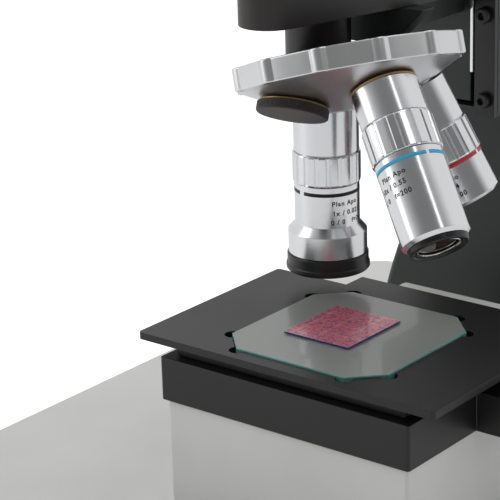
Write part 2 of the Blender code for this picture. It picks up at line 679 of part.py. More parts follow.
def lamp_house(kit):
    place = lamp_place()
    collar = HEAD_HALF + COLLAR_LENGTH
    end = collar + LAMP_LENGTH
    shell = turned("lamp_house", [
        (LAMP_BORE, collar + GAP), (LAMP_RADIUS - 2 * MM, collar + GAP), (LAMP_RADIUS, collar + 2 * MM),
        (LAMP_RADIUS, end), (LAMP_RADIUS - 2 * MM, end), (LAMP_RADIUS - 2 * MM, collar + 4 * MM),
        (LAMP_BORE, collar + 4 * MM)])
    kit.add(shell, "column_paint", place, "focus_axis")
    cap = turned("lamp_rear_cap", [
        (0, end + GAP), (LAMP_RADIUS, end + GAP), (LAMP_RADIUS, end + 6 * MM),
        (LAMP_RADIUS - 3 * MM, end + 9 * MM), (0, end + 9 * MM)])
    kit.add(cap, "head_paint", place, "focus_axis")
    bulb = turned("lamp_bulb", [
        (0, end), (9 * MM, end), (9 * MM, end - 22 * MM), (7 * MM, end - 34 * MM), (0, end - 38 * MM)],
        FINE)
    kit.add(bulb, "steel", place, "focus_axis")
    for name, along in (("aperture", collar - 4.5 * MM), ("field", collar - 10.5 * MM)):
        ring = tube(f"{name}_ring", COLLAR_RADIUS + BORE_GAP, 20.5 * MM, along - 2.2 * MM,
                    along + 2.2 * MM)
        lever = shifted(moved(rod("lever", 1.6 * MM, 0, LEVER_LENGTH, 12),
                              looking_along((0, -1, 0))), y=19 * MM, z=along)
        kit.joint_frame(f"{name}_axis", place)
        kit.add(join(ring, lever), "satin_aluminium", place, f"{name}_axis")


def nosepiece_mount(kit):
    """Fixed tube from the head to the turret, cut off along the turret's top, with the pivot plate below."""
    upright = shifted(rod("nosepiece_mount", MOUNT_RADIUS, SHOULDER_Z - 20 * MM, HEAD_BOTTOM - GAP,
                          SIDES),
                      y=OPTIC_Y + MOUNT_OFFSET)
    place = turret_place()
    below = moved(rod("below", 90 * MM, -DISC_TOP - 120 * MM, -DISC_TOP - 1 * MM), place)
    cut(upright, below)
    plate = moved(rod("plate", RECESS_RADIUS - 1 * MM, -RECESS_FLOOR + 0.8 * MM, -DISC_TOP - 0.2 * MM,
                      SIDES), place)
    pivot = moved(rod("pivot", PIVOT_RADIUS, -PIVOT_END, -DISC_TOP - 1 * MM), place)
    join(upright, plate, pivot)
    bore = shifted(rod("bore", 9.5 * MM, SHOULDER_Z - 40 * MM, HEAD_BOTTOM + 5 * MM), y=OPTIC_Y)
    kit.add(cut(upright, bore), "head_paint", None, "focus_axis")


# ---- turret ----
def turret_place():
    """Origin at the apex, local -Z down the turret axis, local +X in the plane of lean."""
    side = (DOWN - TURRET_AXIS * DOWN.dot(TURRET_AXIS)).normalized()
    back = -TURRET_AXIS
    return Matrix.Translation(APEX) @ Matrix((side, back.cross(side), back)).transposed().to_4x4()


def port_place(number):
    """Origin at a port's shoulder, local -Z down its barrel; port 0 stands under the optical axis."""
    turn = Matrix.Rotation(-number * 2 * math.pi / PORTS, 4, "Z")
    lean = Matrix.Rotation(-TURRET_LEAN, 4, "Y")
    return turret_place() @ turn @ lean @ Matrix.Translation((0, 0, -APEX_RISE))


def disc_outline():
    """Rim with narrow raised ribs on a shallow wavy edge."""
    points = []
    steps = 6 * RIB_COUNT
    for k in range(steps):
        angle = 2 * math.pi * k / steps
        wave = math.cos(RIB_COUNT * (angle - RIB_PHASE))
        radius = DISC_RADIUS + RIB_RISE * max(0.0, wave) ** 6
        points.append((radius * math.cos(angle), radius * math.sin(angle)))
    return points


def turret_disc(kit):
    cone = math.tan(TURRET_LEAN)
    shoulder_s = APEX_RISE * math.cos(TURRET_LEAN)
    shoulder_r = APEX_RISE * math.sin(TURRET_LEAN)
    face = shoulder_s - GAP / math.cos(TURRET_LEAN)

    def depth(radius):
        return face + (shoulder_r - radius) * cone

    rim = loft("turret_disc", [
        [(x, y, -DISC_TOP) for x, y in disc_outline()],
        [(x, y, -DISC_RIM) for x, y in disc_outline()]])
    edge = DISC_RADIUS - 1.2 * MM
    under = turned("under", [
        (0, -DISC_RIM + 3 * MM), (edge, -DISC_RIM + 3 * MM), (edge, -DISC_RIM - 0.6 * MM),
        (edge - 1.5 * MM, -depth(edge - 1.5 * MM)), (14 * MM, -depth(14 * MM)), (0, -depth(14 * MM))],
        36)
    join(rim, under)
    recess = rod("recess", RECESS_RADIUS, -RECESS_FLOOR, -DISC_TOP + 5 * MM, SIDES)
    pivot = rod("pivot_hole", PIVOT_RADIUS + BORE_GAP, -PIVOT_END - 1 * MM, -DISC_TOP)
    ports = []
    local = turret_place().inverted()
    for number in range(PORTS):
        port = rod(f"port_{number}", PORT_BORE, -10 * MM, 40 * MM)
        ports.append(moved(port, local @ port_place(number)))
    kit.joint_frame("turret_axis", turret_place())
    kit.add(cut(rim, recess, pivot, *ports), "satin_aluminium", turret_place(), "turret_axis")


def grip_outline(radius):
    """Broad flats with shallow flutes between them."""
    points = []
    step = 2 * math.pi / GRIP_RIBS
    for k in range(GRIP_RIBS):
        for share, drop in ((-0.28, 0), (0.28, 0), (0.36, FLUTE_DEPTH), (0.64, FLUTE_DEPTH)):
            angle = (k + share) * step
            points.append(((radius - drop) * math.cos(angle), (radius - drop) * math.sin(angle)))
    return points


def barrel(name, length, grip, end_radius=BARREL_RADIUS, flange=None, lift=0.0):
    """Turned barrel with its thread above the shoulder, a fluted grip and an open light path."""
    radius = BARREL_RADIUS
    neck = 0.5 * MM
    outline = [(8.4 * MM, THREAD_LENGTH), (THREAD_RADIUS, THREAD_LENGTH), (THREAD_RADIUS, -lift),
               (radius, -lift), (radius, -grip[0] + neck), (radius - neck, -grip[0] + neck),
               (radius - neck, -grip[1] - neck), (radius, -grip[1] - neck)]
    if flange:
        start, spread, stop = flange
        outline += [(radius, -start), (end_radius, -spread), (end_radius, -stop)]
    else:
        outline += [(end_radius, -length + 1.5 * MM), (end_radius - 1.5 * MM, -length)]
    bottom = outline[-1][1]
    outline += [(12 * MM, bottom), (12 * MM, bottom + 6 * MM), (8.4 * MM, bottom + 9 * MM)]
    body = turned(name, outline)
    sleeve = prism("sleeve", grip_outline(GRIP_RADIUS), -grip[1], -grip[0])
    return join(body, cut(sleeve, rod("inside", radius - 2 * MM, -grip[1] - 1 * MM, -grip[0] + 1 * MM)))


def lens_disc(name, radius, bottom):
    """Front lens, a little proud in the middle."""
    return turned(name, [
        (0, bottom), (radius * 0.6, bottom + 0.3 * MM), (radius, bottom + 1 * MM),
        (radius, bottom + LENS_THICK), (0, bottom + LENS_THICK)], FINE)


def objectives(kit):
    low, mid, high, spare = (port_place(number) for number in range(PORTS))
    body = barrel("objective_low_barrel", LOW_LENGTH, LOW_GRIP, LOW_FLANGE_RADIUS, LOW_FLANGE)
    kit.add(body, "satin_aluminium", low, "turret_axis")
    top = -LOW_FLANGE[2] - GAP
    hood = turned("objective_low_hood", [
        (12.6 * MM, top), (HOOD_RADIUS - 0.6 * MM, top), (HOOD_RADIUS, top - 0.6 * MM),
        (HOOD_RADIUS, -LOW_LENGTH + 3.4 * MM), (HOOD_LIP, -LOW_LENGTH + 2.6 * MM),
        (HOOD_LIP, -LOW_LENGTH + 0.6 * MM),
        (HOOD_LIP - 0.6 * MM, -LOW_LENGTH), (17 * MM, -LOW_LENGTH), (15 * MM, top - 2 * MM),
        (12.6 * MM, top - 2 * MM)])
    kit.joint_frame("hood_axis", low)
    kit.add(hood, "head_paint", low, "hood_axis")
    kit.add(lens_disc("objective_low_lens", 11.7 * MM, -LOW_FLANGE[2] + 0.6 * MM), "lens_glass", low,
            "turret_axis")
    body = barrel("objective_mid_barrel", MID_LENGTH, MID_GRIP)
    kit.add(body, "satin_aluminium", mid, "turret_axis")
    body = barrel("objective_high_barrel", HIGH_LENGTH - BEZEL_DEPTH, HIGH_GRIP,
                  lift=SPACER_THICK + GAP)
    kit.add(body, "satin_aluminium", high, "turret_axis")
    washer = tube("high_spacer_ring", THREAD_RADIUS + BORE_GAP, BARREL_RADIUS + 0.5 * MM,
                  -SPACER_THICK, 0)
    kit.add(washer, "brass", high, "turret_axis")
    top = -HIGH_LENGTH + BEZEL_DEPTH - GAP
    bezel = turned("objective_high_bezel", [
        (12 * MM, top), (BARREL_RADIUS - 1.8 * MM, top), (BARREL_RADIUS - 2.4 * MM, -HIGH_LENGTH),
        (11.5 * MM, -HIGH_LENGTH), (10 * MM, -HIGH_LENGTH + 1.2 * MM), (10 * MM, top)])
    kit.add(bezel, "head_paint", high, "turret_axis")
    kit.add(lens_disc("objective_high_lens", 9.4 * MM, -HIGH_LENGTH + 1.6 * MM), "lens_glass", high,
            "turret_axis")
    plug = turned("port_plug", [
        (0, THREAD_LENGTH), (THREAD_RADIUS, THREAD_LENGTH), (THREAD_RADIUS, 0),
        (PLUG_RADIUS - 0.6 * MM, 0),
        (PLUG_RADIUS, -0.6 * MM), (PLUG_RADIUS, -PLUG_THICK + 0.8 * MM),
        (PLUG_RADIUS - 0.8 * MM, -PLUG_THICK),
        (0, -PLUG_THICK)])
    kit.add(plug, "black_plastic", spare, "turret_axis")


# ---- viewing head ----
def view_place():
    """Origin where the viewing axis leaves the binocular body, local +Z towards the eye."""
    direction = Vector((0, -math.cos(VIEW_TILT), math.sin(VIEW_TILT)))
    start = Vector((0, OPTIC_Y - 8 * MM, HEAD_TOP + 34 * MM)) + direction * 32 * MM
    return looking_along(-direction, start)


def binocular(kit):
    base = HEAD_TOP + GAP
    seat = shifted(tube("seat", LIGHT_BORE + 1 * MM, 27 * MM, base, base + 9 * MM), y=OPTIC_Y)
    lens = turned("tube_lens", [
        (0, base + 1 * MM), (LIGHT_BORE + 1 * MM - GAP, base + 2.5 * MM),
        (LIGHT_BORE + 1 * MM - GAP, base + 5 * MM),
        (0, base + 6.5 * MM)], FINE)
    kit.add(shifted(lens, y=OPTIC_Y), "lens_glass", None, "focus_axis")
    low = base + 8 * MM
    front, back = OPTIC_Y - 34 * MM, OPTIC_Y + 34 * MM
    top = low + BINOCULAR_HEIGHT
    side = [(back, low), (back, top - 8 * MM), (back - 8 * MM, top), (front + 30 * MM, top),
            (front, top - 24 * MM), (front + 16 * MM, low)]
    body = prism_along_x("binocular_body", side, -31 * MM, 31 * MM)
    place = view_place()
    clear = box("clear", (-60 * MM, -60 * MM, 0), (60 * MM, 60 * MM, 60 * MM))
    cut(body, moved(clear, place))
    stub = moved(rod("stub", 8 * MM, -20 * MM, 2 * ARM_THICK + 3 * GAP), place)
    port = shifted(tube("port", 12 * MM, 19 * MM, top - 2 * MM, top + 22 * MM), y=OPTIC_Y + 8 * MM)
    kit.add(join(body, stub, seat, port), "head_paint", None, "focus_axis")
    cap = shifted(turned("camera_port_cap", [
        (0, top + 22 * MM + GAP), (21 * MM, top + 22 * MM + GAP), (21 * MM, top + 29 * MM),
        (19 * MM, top + 31 * MM), (0, top + 31 * MM)]), y=OPTIC_Y + 8 * MM)
    kit.add(cap, "black_plastic", None, "focus_axis")
    for side_name, sign, level in (("left", -1, 0), ("right", 1, 1)):
        eye_tube(kit, side_name, sign, level, place)


def arm_outline(sign):
    """Two round ends joined by straight flanks, from the hinge to the tube."""
    centre = sign * PUPIL_HALF
    start = -90 if sign > 0 else 90
    far = arc((centre, 0), ARM_RADIUS, start, start + 180, 10)
    near = arc((0, 0), HINGE_RADIUS, start + 180, start + 360, 10)
    return far + near


def eye_tube(kit, side, sign, level, place):
    """One swinging arm with its tube and eyepiece; only the left one has a dioptre ring."""
    frame = f"pupil_axis_{side}"
    kit.joint_frame(frame, place)
    low = GAP + level * (ARM_THICK + GAP)
    high = low + ARM_THICK
    arm = prism(f"prism_arm_{side}", arm_outline(sign), low, high)
    hub = rod("hub", 8 * MM + BORE_GAP, low - 5 * MM, high + 5 * MM)
    barrel_top = 2 * (ARM_THICK + GAP) + TUBE_LENGTH
    inner = TUBE_RADIUS - 2.5 * MM
    sleeve = shifted(rod("sleeve", TUBE_RADIUS, high - 5 * MM, barrel_top, SIDES), x=sign * PUPIL_HALF)
    hollow = shifted(rod("hollow", inner, high - 3 * MM, barrel_top + 5 * MM, SIDES),
                     x=sign * PUPIL_HALF)
    kit.add(cut(join(arm, sleeve), hub, hollow), "head_paint", place, frame)
    eye = place @ Matrix.Translation((sign * PUPIL_HALF, 0, 0))
    start = barrel_top + GAP
    if side == "left":
        ring = tube("diopter_ring", inner, TUBE_RADIUS + 2.5 * MM, start, start + 8 * MM)
        kit.joint_frame("diopter_axis", eye)
        kit.add(ring, "head_paint", eye, "diopter_axis")
        start += 8 * MM + GAP
    end = barrel_top + 8 * MM + EYEPIECE_LENGTH
    inner -= BORE_GAP
    eyepiece = turned(f"eyepiece_{side}", [
        (0, barrel_top - 12 * MM), (inner, barrel_top - 12 * MM), (inner, start),
        (TUBE_RADIUS + 2 * MM, start),
        (TUBE_RADIUS + 2 * MM, end - 8 * MM), (TUBE_RADIUS + 5 * MM, end),
        (TUBE_RADIUS + 1.5 * MM, end),
        (11 * MM, end - 6 * MM), (7 * MM, end - 6 * MM), (0, end - 5 * MM)])
    kit.add(eyepiece, "black_plastic", eye, frame)


# ---- stage ----
def glass_outline(grow=0.0):
    half_x, half_y = GLASS_WIDTH / 2 + grow, GLASS_DEPTH / 2 + grow
    cut_back = GLASS_CUT + grow * (2 - math.sqrt(2))
    corners = []
    for x, y in ((1, 1), (-1, 1), (-1, -1), (1, -1)):
        pair = [(x * half_x, y * (half_y - cut_back)), (x * (half_x - cut_back), y * half_y)]
        corners += pair if x * y > 0 else pair[::-1]
    return corners


def window(name, low, high, grow):
    """The octagonal opening for the glass, with round reliefs at the ends of each cut corner."""
    hole = prism(name, glass_outline(grow), low, high)
    reliefs = []
    for x, y in glass_outline(grow):
        reliefs.append(shifted(rod("relief", RELIEF_RADIUS, low, high, 12), x=x * 0.985, y=y * 0.985))
    return join(hole, *reliefs)


def stage(kit):
    centre = STAGE_CENTRE
    home = Matrix.Translation(centre)
    kit.joint_frame("stage_x_axis", home)
    kit.joint_frame("stage_y_axis", home)
    half_x, half_y = PLATE_WIDTH / 2, PLATE_DEPTH / 2
    plate = box("stage_plate", (-half_x, -half_y, PLATE_BOTTOM), (half_x, half_y, PLATE_TOP), 2 * MM)
    opening = window("window", PLATE_BOTTOM - 1 * MM, PLATE_TOP + 1 * MM, GAP)
    kit.add(cut(plate, opening), "black_anodised", home, "stage_x_axis")
    glass = prism("glass_insert", glass_outline(), GLASS_TOP - GLASS_THICK, GLASS_TOP)
    kit.add(glass, "stage_glass", home, "stage_x_axis")
    chip_low = GLASS_TOP + GAP
    chip = box("specimen_chip", (-CHIP_WIDTH / 2, -CHIP_DEPTH / 2, chip_low),
               (CHIP_WIDTH / 2, CHIP_DEPTH / 2, chip_low + CHIP_THICK))
    kit.add(chip, "chip", home @ Matrix.Translation((*CHIP_SHIFT, 0)), "stage_x_axis")
    slide_x, slide_y = SADDLE_HALF - SLIDE_INSET, half_y - SLIDE_INSET
    slide = box("x_slide", (-slide_x, -slide_y, SLIDE_TOP - SLIDE_HEIGHT),
                (slide_x, slide_y, SLIDE_TOP))
    pocket = prism("pocket", glass_outline(2 * MM), SLIDE_TOP - 2 * MM, SLIDE_TOP + 1 * MM)
    well = box("well", (-WELL_HALF, -WELL_HALF, 0), (WELL_HALF, WELL_HALF, SLIDE_TOP + 5 * MM))
    kit.add(cut(slide, pocket, well), "black_anodised", home, "stage_x_axis")

    saddle = box("y_saddle", (-SADDLE_HALF, -half_y, SADDLE_BOTTOM),
                 (SADDLE_HALF, half_y, SADDLE_TOP), 1.5 * MM)
    wing_y = DRIVE_Y - centre.y
    wing = box("wing", (SADDLE_HALF - 5 * MM, WING_FRONT - centre.y, SADDLE_BOTTOM),
               (DRIVE_X - centre.x + 12 * MM, WING_BACK - centre.y, SADDLE_TOP - 2 * MM))
    join(saddle, wing)
    well = box("well", (-WELL_HALF, -WELL_HALF, 0), (WELL_HALF, WELL_HALF, SADDLE_TOP + 5 * MM))
    hole = shifted(rod("hole", 5 * MM + BORE_GAP, 0, SADDLE_BOTTOM + 12 * MM), x=DRIVE_X - centre.x,
                   y=wing_y)
    kit.add(cut(saddle, well, hole), "black_anodised", home, "stage_y_axis")
    strip = box("x_rail_cover",
                (-SADDLE_HALF + 28 * MM, half_y + GAP + 0.7 * MM, SADDLE_BOTTOM + 4 * MM),
                (PLATE_WIDTH / 2 + 4 * MM, half_y + RAIL_COVER_DEPTH, PLATE_TOP - 1.2 * MM))
    kit.add(strip, "black_anodised", home, "stage_y_axis")
    bed(kit, centre)
    stage_drive(kit, centre, wing_y)


def bed(kit, centre):
    top = SADDLE_BOTTOM - GAP
    half_x = SADDLE_HALF - BED_INSET
    front = centre.y - PLATE_DEPTH / 2 + BED_INSET
    body = box("stage_bed", (centre.x - half_x, front, BASE_TOP + GAP),
               (centre.x + half_x, BED_BACK, top), 2 * MM)
    well = box("well", (centre.x - WELL_HALF, centre.y - WELL_HALF, BASE_TOP + BED_FLOOR),
               (centre.x + WELL_HALF, centre.y + WELL_HALF + 46 * MM, top + 5 * MM))
    kit.add(cut(body, well), "bed_paint")


def stage_drive(kit, centre, wing_y):
    """Coaxial hand knobs hanging under the saddle: the upper one moves Y, the lower one X."""
    place = Matrix.Translation((DRIVE_X, DRIVE_Y, 0))
    kit.joint_frame("x_knob_axis", place)
    kit.joint_frame("y_knob_axis", place)
    top = SADDLE_BOTTOM - 2 * MM
    shaft_top = SADDLE_BOTTOM + 11 * MM
    split = top - 17 * MM
    upper = turned("stage_y_knob", [
        (DRIVE_SHAFT + BORE_GAP, shaft_top), (5 * MM, shaft_top), (5 * MM, top),
        (DRIVE_RADIUS - 1 * MM, top),
        (DRIVE_RADIUS, top - 1 * MM), (DRIVE_RADIUS, split + 1 * MM), (DRIVE_RADIUS - 1 * MM, split),
        (DRIVE_SHAFT + BORE_GAP, split)])
    kit.add(upper, "black_plastic", place, "y_knob_axis")
    low = split - 18 * MM
    radius = DRIVE_RADIUS - 4 * MM
    lower = turned("stage_x_knob", [
        (0, shaft_top), (DRIVE_SHAFT, shaft_top), (DRIVE_SHAFT, split - 1 * MM),
        (radius, split - 1 * MM),
        (radius, low + 1 * MM), (radius - 1 * MM, low), (0, low)])
    kit.add(lower, "black_plastic", place, "x_knob_axis")


def main():
    remove_everything()
    kit = Assembly()
    base_casting(kit)
    feet(kit)
    electrics(kit)
    brightness_dial(kit)
    column(kit)
    guide(kit)
    focus_drive(kit)
    carriage(kit)
    bracket(kit)
    head(kit)
    lamp_house(kit)
    nosepiece_mount(kit)
    turret_disc(kit)
    objectives(kit)
    binocular(kit)
    stage(kit)


main()
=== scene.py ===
# %% [markdown]
# # A measuring microscope, dressed piece by piece
# The solid model of the microscope is loaded first and stays as it is: it says where each
# piece stands and how it moves. This file gives the pieces their visible skin and finish.
# A piece that shows is made again at a finer step and rides on the same moving body.

import json
import math

import bmesh
import bpy
from mathutils import Matrix, Vector


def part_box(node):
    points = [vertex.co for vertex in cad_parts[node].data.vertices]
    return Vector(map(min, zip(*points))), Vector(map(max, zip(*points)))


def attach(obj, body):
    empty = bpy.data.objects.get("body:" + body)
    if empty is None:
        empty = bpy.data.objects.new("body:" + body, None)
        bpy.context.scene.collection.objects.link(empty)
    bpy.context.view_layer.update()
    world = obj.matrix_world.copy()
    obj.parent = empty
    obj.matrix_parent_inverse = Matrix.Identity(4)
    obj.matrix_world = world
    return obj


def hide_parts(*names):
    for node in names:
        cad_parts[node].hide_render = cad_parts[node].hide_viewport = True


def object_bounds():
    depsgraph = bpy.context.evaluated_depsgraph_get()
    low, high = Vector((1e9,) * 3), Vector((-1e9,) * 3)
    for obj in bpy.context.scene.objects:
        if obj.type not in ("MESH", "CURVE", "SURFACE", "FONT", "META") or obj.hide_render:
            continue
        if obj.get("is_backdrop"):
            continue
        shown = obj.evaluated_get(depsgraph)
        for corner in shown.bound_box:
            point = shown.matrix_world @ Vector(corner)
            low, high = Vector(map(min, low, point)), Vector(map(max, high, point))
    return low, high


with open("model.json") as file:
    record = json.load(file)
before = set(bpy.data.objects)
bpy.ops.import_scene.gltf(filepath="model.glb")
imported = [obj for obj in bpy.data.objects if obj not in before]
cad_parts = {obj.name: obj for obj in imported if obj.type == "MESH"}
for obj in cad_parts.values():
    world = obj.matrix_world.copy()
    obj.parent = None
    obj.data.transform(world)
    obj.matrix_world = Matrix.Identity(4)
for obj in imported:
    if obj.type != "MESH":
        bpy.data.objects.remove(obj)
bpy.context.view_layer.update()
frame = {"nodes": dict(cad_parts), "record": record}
NODES = frame["nodes"]
BODIES = frame["record"]["behaviour"]["bodies"]
BODY_OF = {node: body for body, members in BODIES.items() for node in members}
JOINTS = {joint["name"]: joint for joint in frame["record"]["behaviour"]["joints"]}
MM = 0.001

# %% [markdown]
# ## Camera and light
# A long lens from the front right and a little above keeps the barrels' sides nearly parallel,
# as product pictures do. The camera's direction is given by two compass-like angles and a small
# roll, so its three axes are worked out from them.

# %% The camera
CAMERA_PLACE = Vector((0.57886, -0.81102, 0.50130))
CAMERA_AZIMUTH = math.radians(39.22)
CAMERA_ELEVATION = math.radians(18.96)
CAMERA_ROLL = math.radians(-1.71)
LENS = 146.43

back = Vector((math.sin(CAMERA_AZIMUTH) * math.cos(CAMERA_ELEVATION),
               -math.cos(CAMERA_AZIMUTH) * math.cos(CAMERA_ELEVATION),
               math.sin(CAMERA_ELEVATION)))
level = Vector((math.cos(CAMERA_AZIMUTH), math.sin(CAMERA_AZIMUTH), 0))
above = back.cross(level)
right = level * math.cos(CAMERA_ROLL) + above * math.sin(CAMERA_ROLL)
up = above * math.cos(CAMERA_ROLL) - level * math.sin(CAMERA_ROLL)
camera = bpy.data.objects.new("camera", bpy.data.cameras.new("camera"))
bpy.context.scene.collection.objects.link(camera)
camera.matrix_world = Matrix.Translation(CAMERA_PLACE) @ Matrix((right, up, back)).transposed().to_4x4()
camera.data.lens = LENS
camera.data.clip_start = 0.02
bpy.context.scene.camera = camera
print("camera looks along", [round(v, 3) for v in -back])

# %% [markdown]
# ## A small language for nodes
# A finish is a graph of nodes. Written as sums and products it reads like arithmetic, so one
# small class wraps a socket and lets + - and * add the Math nodes. Everything else comes from
# one method that takes the node's type, its settings and what its sockets get. The room's
# light is a graph too, so it uses the same words.


# %% Values and graphs
class Value:
    """A number that varies over the surface."""

    def __init__(self, graph, socket):
        self.graph, self.socket = graph, socket

    def _math(self, operation, first, second):
        return self.graph.add("ShaderNodeMath", {"operation": operation}, {0: first, 1: second})

    def __add__(self, other):
        return self._math("ADD", self, other)

    def __sub__(self, other):
        return self._math("SUBTRACT", self, other)

    def __rsub__(self, other):
        return self._math("SUBTRACT", other, self)

    def __mul__(self, other):
        return self._math("MULTIPLY", self, other)

    __radd__ = __add__
    __rmul__ = __mul__


class Graph:
    """A node tree that nodes are added to."""

    def __init__(self, owner):
        owner.use_nodes = True
        self.tree = owner.node_tree

    def feed(self, socket, value):
        if isinstance(value, Value):
            self.tree.links.new(value.socket, socket)
        elif isinstance(value, tuple) and len(value) == 3 and len(socket.default_value) == 4:
            socket.default_value = (*value, 1)
        else:
            socket.default_value = value

    def add(self, kind, settings=None, sockets=None, out=0):
        node = self.tree.nodes.new(kind)
        for name, value in (settings or {}).items():
            setattr(node, name, value)
        for name, value in (sockets or {}).items():
            self.feed(node.inputs[name], value)
        return Value(self, node.outputs[out])

    def between(self, value, low, high, start=0.0, end=1.0):
        """start below low, end above high, and a straight run between them."""
        return self.add("ShaderNodeMapRange", {"clamp": True},
                        {0: value, 1: low, 2: high, 3: start, 4: end}, out="Result")


# %% [markdown]
# Bright metal shows what stands around it, so the room matters more than any lamp. The room is
# white behind the stand and at both sides, and grey in front, where the camera stands: that
# draws the grey streak down each barrel. Soft panels then put bright bars beside the streak.

# %% The room and its panels
BACKDROP, FRONT_GREY = 0.78, 0.19
BEHIND_THE_STAND = 1.02   # what the lens sees past the stand: plain white
world = bpy.data.worlds.new("white_room")
room = Graph(world)
heading = room.add("ShaderNodeTexCoord", out="Generated")
towards_front = room.add("ShaderNodeVectorMath", {"operation": "DOT_PRODUCT"},
                         {0: heading, 1: (back.x, back.y, 0.0)}, out="Value")
glow = room.between(towards_front, 0.06, 0.5, BACKDROP, FRONT_GREY)
seen = room.add("ShaderNodeLightPath", out="Is Camera Ray")
shine = world.node_tree.nodes["Background"]
room.feed(shine.inputs["Strength"], glow * (1 - seen) + seen * BEHIND_THE_STAND)
shine.inputs["Color"].default_value = (1, 1, 1, 1)
bpy.context.scene.world = world
bpy.context.scene.view_settings.view_transform = "Standard"
SUBJECT = Vector((0.02, -0.06, 0.22))


def panel(name, azimuth, elevation, distance, size, watts):
    """A soft rectangle that faces the stand. Azimuth 0 is the operator's side, 90 is +X."""
    turn, rise = math.radians(azimuth), math.radians(elevation)
    out = Vector((math.sin(turn) * math.cos(rise), -math.cos(turn) * math.cos(rise), math.sin(rise)))
    lamp = bpy.data.lights.new(name, "AREA")
    lamp.shape, lamp.size, lamp.size_y = "RECTANGLE", size[0], size[1]
    lamp.energy = watts
    holder = bpy.data.objects.new(name, lamp)
    bpy.context.scene.collection.objects.link(holder)
    holder.location = SUBJECT + out * distance
    holder.rotation_euler = (-out).to_track_quat("-Z", "Y").to_euler()
    print(name, "at", [round(v, 2) for v in holder.location])


panel("right_bar", 66, 48, 1.2, (0.12, 0.7), 0.5)
panel("left_panel", -52, 25, 1.2, (0.5, 1.2), 1.9)
panel("top_panel", 190, 75, 1.3, (0.9, 0.5), 2.2)


# %% [markdown]
# A finish is a graph that ends in one shader. Values that are the same all over are set on the
# shader itself; what varies is worked out from the piece's own coordinates, so it stays put
# when the piece moves.

# %% Finishes
class Finish(Graph):
    """One material: its shader's constants, and the nodes that vary it."""

    def __init__(self, name, **constants):
        self.material = bpy.data.materials.new(name)
        super().__init__(self.material)
        self.shader = self.tree.nodes["Principled BSDF"]
        self.look(**constants)
        self.place = self.add("ShaderNodeTexCoord", out="Object")

    def look(self, **values):
        for socket, value in values.items():
            label = "IOR" if socket == "ior" else socket.replace("_", " ").title()
            self.feed(self.shader.inputs[label], value)
        return self

    def axis(self, name):
        return self.add("ShaderNodeSeparateXYZ", sockets={0: self.place}, out=name)

    def grain(self, scale, detail=2.0, stretch=None):
        where = self.place
        if stretch:
            where = self.add("ShaderNodeMapping", {"vector_type": "POINT"},
                             {"Vector": where, "Scale": stretch})
        return self.add("ShaderNodeTexNoise", sockets={"Vector": where, "Scale": scale, "Detail": detail})

    def rings(self, pitch):
        """Lines left by the lathe tool: the height along the object's Z alone sets them."""
        return self.add("ShaderNodeTexNoise", {"noise_dimensions": "1D"},
                        {"W": self.axis("Z"), "Scale": 1 / pitch, "Detail": 3.0}, out="Fac")

    def mix(self, share, first, second):
        return self.add("ShaderNodeMix", {"data_type": "RGBA"}, {0: share, 6: first, 7: second}, out=2)

    def bump(self, height, depth):
        relief = self.add("ShaderNodeBump",
                          sockets={"Strength": 1.0, "Distance": depth, "Height": height})
        self.feed(self.shader.inputs["Normal"], relief)
        return self


def painted(name, colour, roughness, grain_size, depth, metallic=0.0, coat=0.0):
    """Satin paint, anodising or moulding: an even colour with a fine tooth and faint clouding."""
    finish = Finish(name, metallic=metallic, coat_weight=coat, coat_roughness=0.25)
    cloud = finish.grain(14, 3)
    tooth = finish.grain(1 / grain_size, 3)
    darker = tuple(c * 0.8 for c in colour)
    finish.look(base_color=finish.mix(cloud, darker, colour), roughness=roughness + (cloud - 0.5) * 0.12)
    return finish.bump(tooth, depth)


# %% [markdown]
# ## The finishes
# Barrels: aluminium with a satin chrome coat, turned, so its faint lines run round the axis.
# Turret: the same metal blasted before plating, so it is a little duller and has no lines.
# Head and mount: warm black satin. Column and bracket: a dark grey-green paint with a fine tooth.

# %% Metals
def turned_metal(name, colour, roughness, pitch=0.35 * MM, depth=0.004 * MM):
    finish = Finish(name, metallic=1.0)
    lines, smear = finish.rings(pitch), finish.grain(60, 3)
    finish.look(base_color=finish.mix(smear, tuple(c * 0.93 for c in colour), colour),
                roughness=roughness + (lines - 0.5) * 0.08 + (smear - 0.5) * 0.06)
    return finish.bump(lines, depth)


BARREL_COLOUR = (0.83, 0.84, 0.86)
satin_chrome = turned_metal("satin_chrome", BARREL_COLOUR, 0.19)
bright_chrome = turned_metal("bright_chrome", (0.88, 0.88, 0.89), 0.12)
ground_steel = turned_metal("ground_steel", (0.46, 0.46, 0.47), 0.34, 0.8 * MM)
brass = turned_metal("turned_brass", (0.42, 0.27, 0.12), 0.38)
blasted = Finish("blasted_chrome", metallic=1.0)
blast_grain = blasted.grain(2600, 2)
blast_cloud = blasted.grain(30, 3)
blasted.look(base_color=blasted.mix(blast_cloud, (0.73, 0.735, 0.745), (0.84, 0.845, 0.855)),
             roughness=0.33 + (blast_cloud - 0.5) * 0.08 + (blast_grain - 0.5) * 0.1)
blasted.bump(blast_grain, 0.02 * MM)

# %% Paints, anodising, plastic and rubber
head_black = painted("head_black", (0.020, 0.016, 0.015), 0.42, 0.35 * MM, 0.01 * MM, coat=0.2)
column_green = painted("column_grey_green", (0.040, 0.046, 0.046), 0.5, 0.6 * MM, 0.03 * MM)
plate_black = painted("anodised_black", (0.008, 0.0076, 0.0075), 0.4, 0.25 * MM, 0.006 * MM)
hood_black = painted("hood_black", (0.014, 0.013, 0.013), 0.3, 0.4 * MM, 0.004 * MM)
knurl_brown = painted("brown_black_plastic", (0.030, 0.022, 0.020), 0.5, 0.6 * MM, 0.05 * MM)
pale_enamel = painted("pale_enamel", (0.86, 0.86, 0.84), 0.42, 0.5 * MM, 0.015 * MM)
foot_rubber = painted("foot_rubber", (0.018, 0.018, 0.018), 0.75, 0.4 * MM, 0.03 * MM)

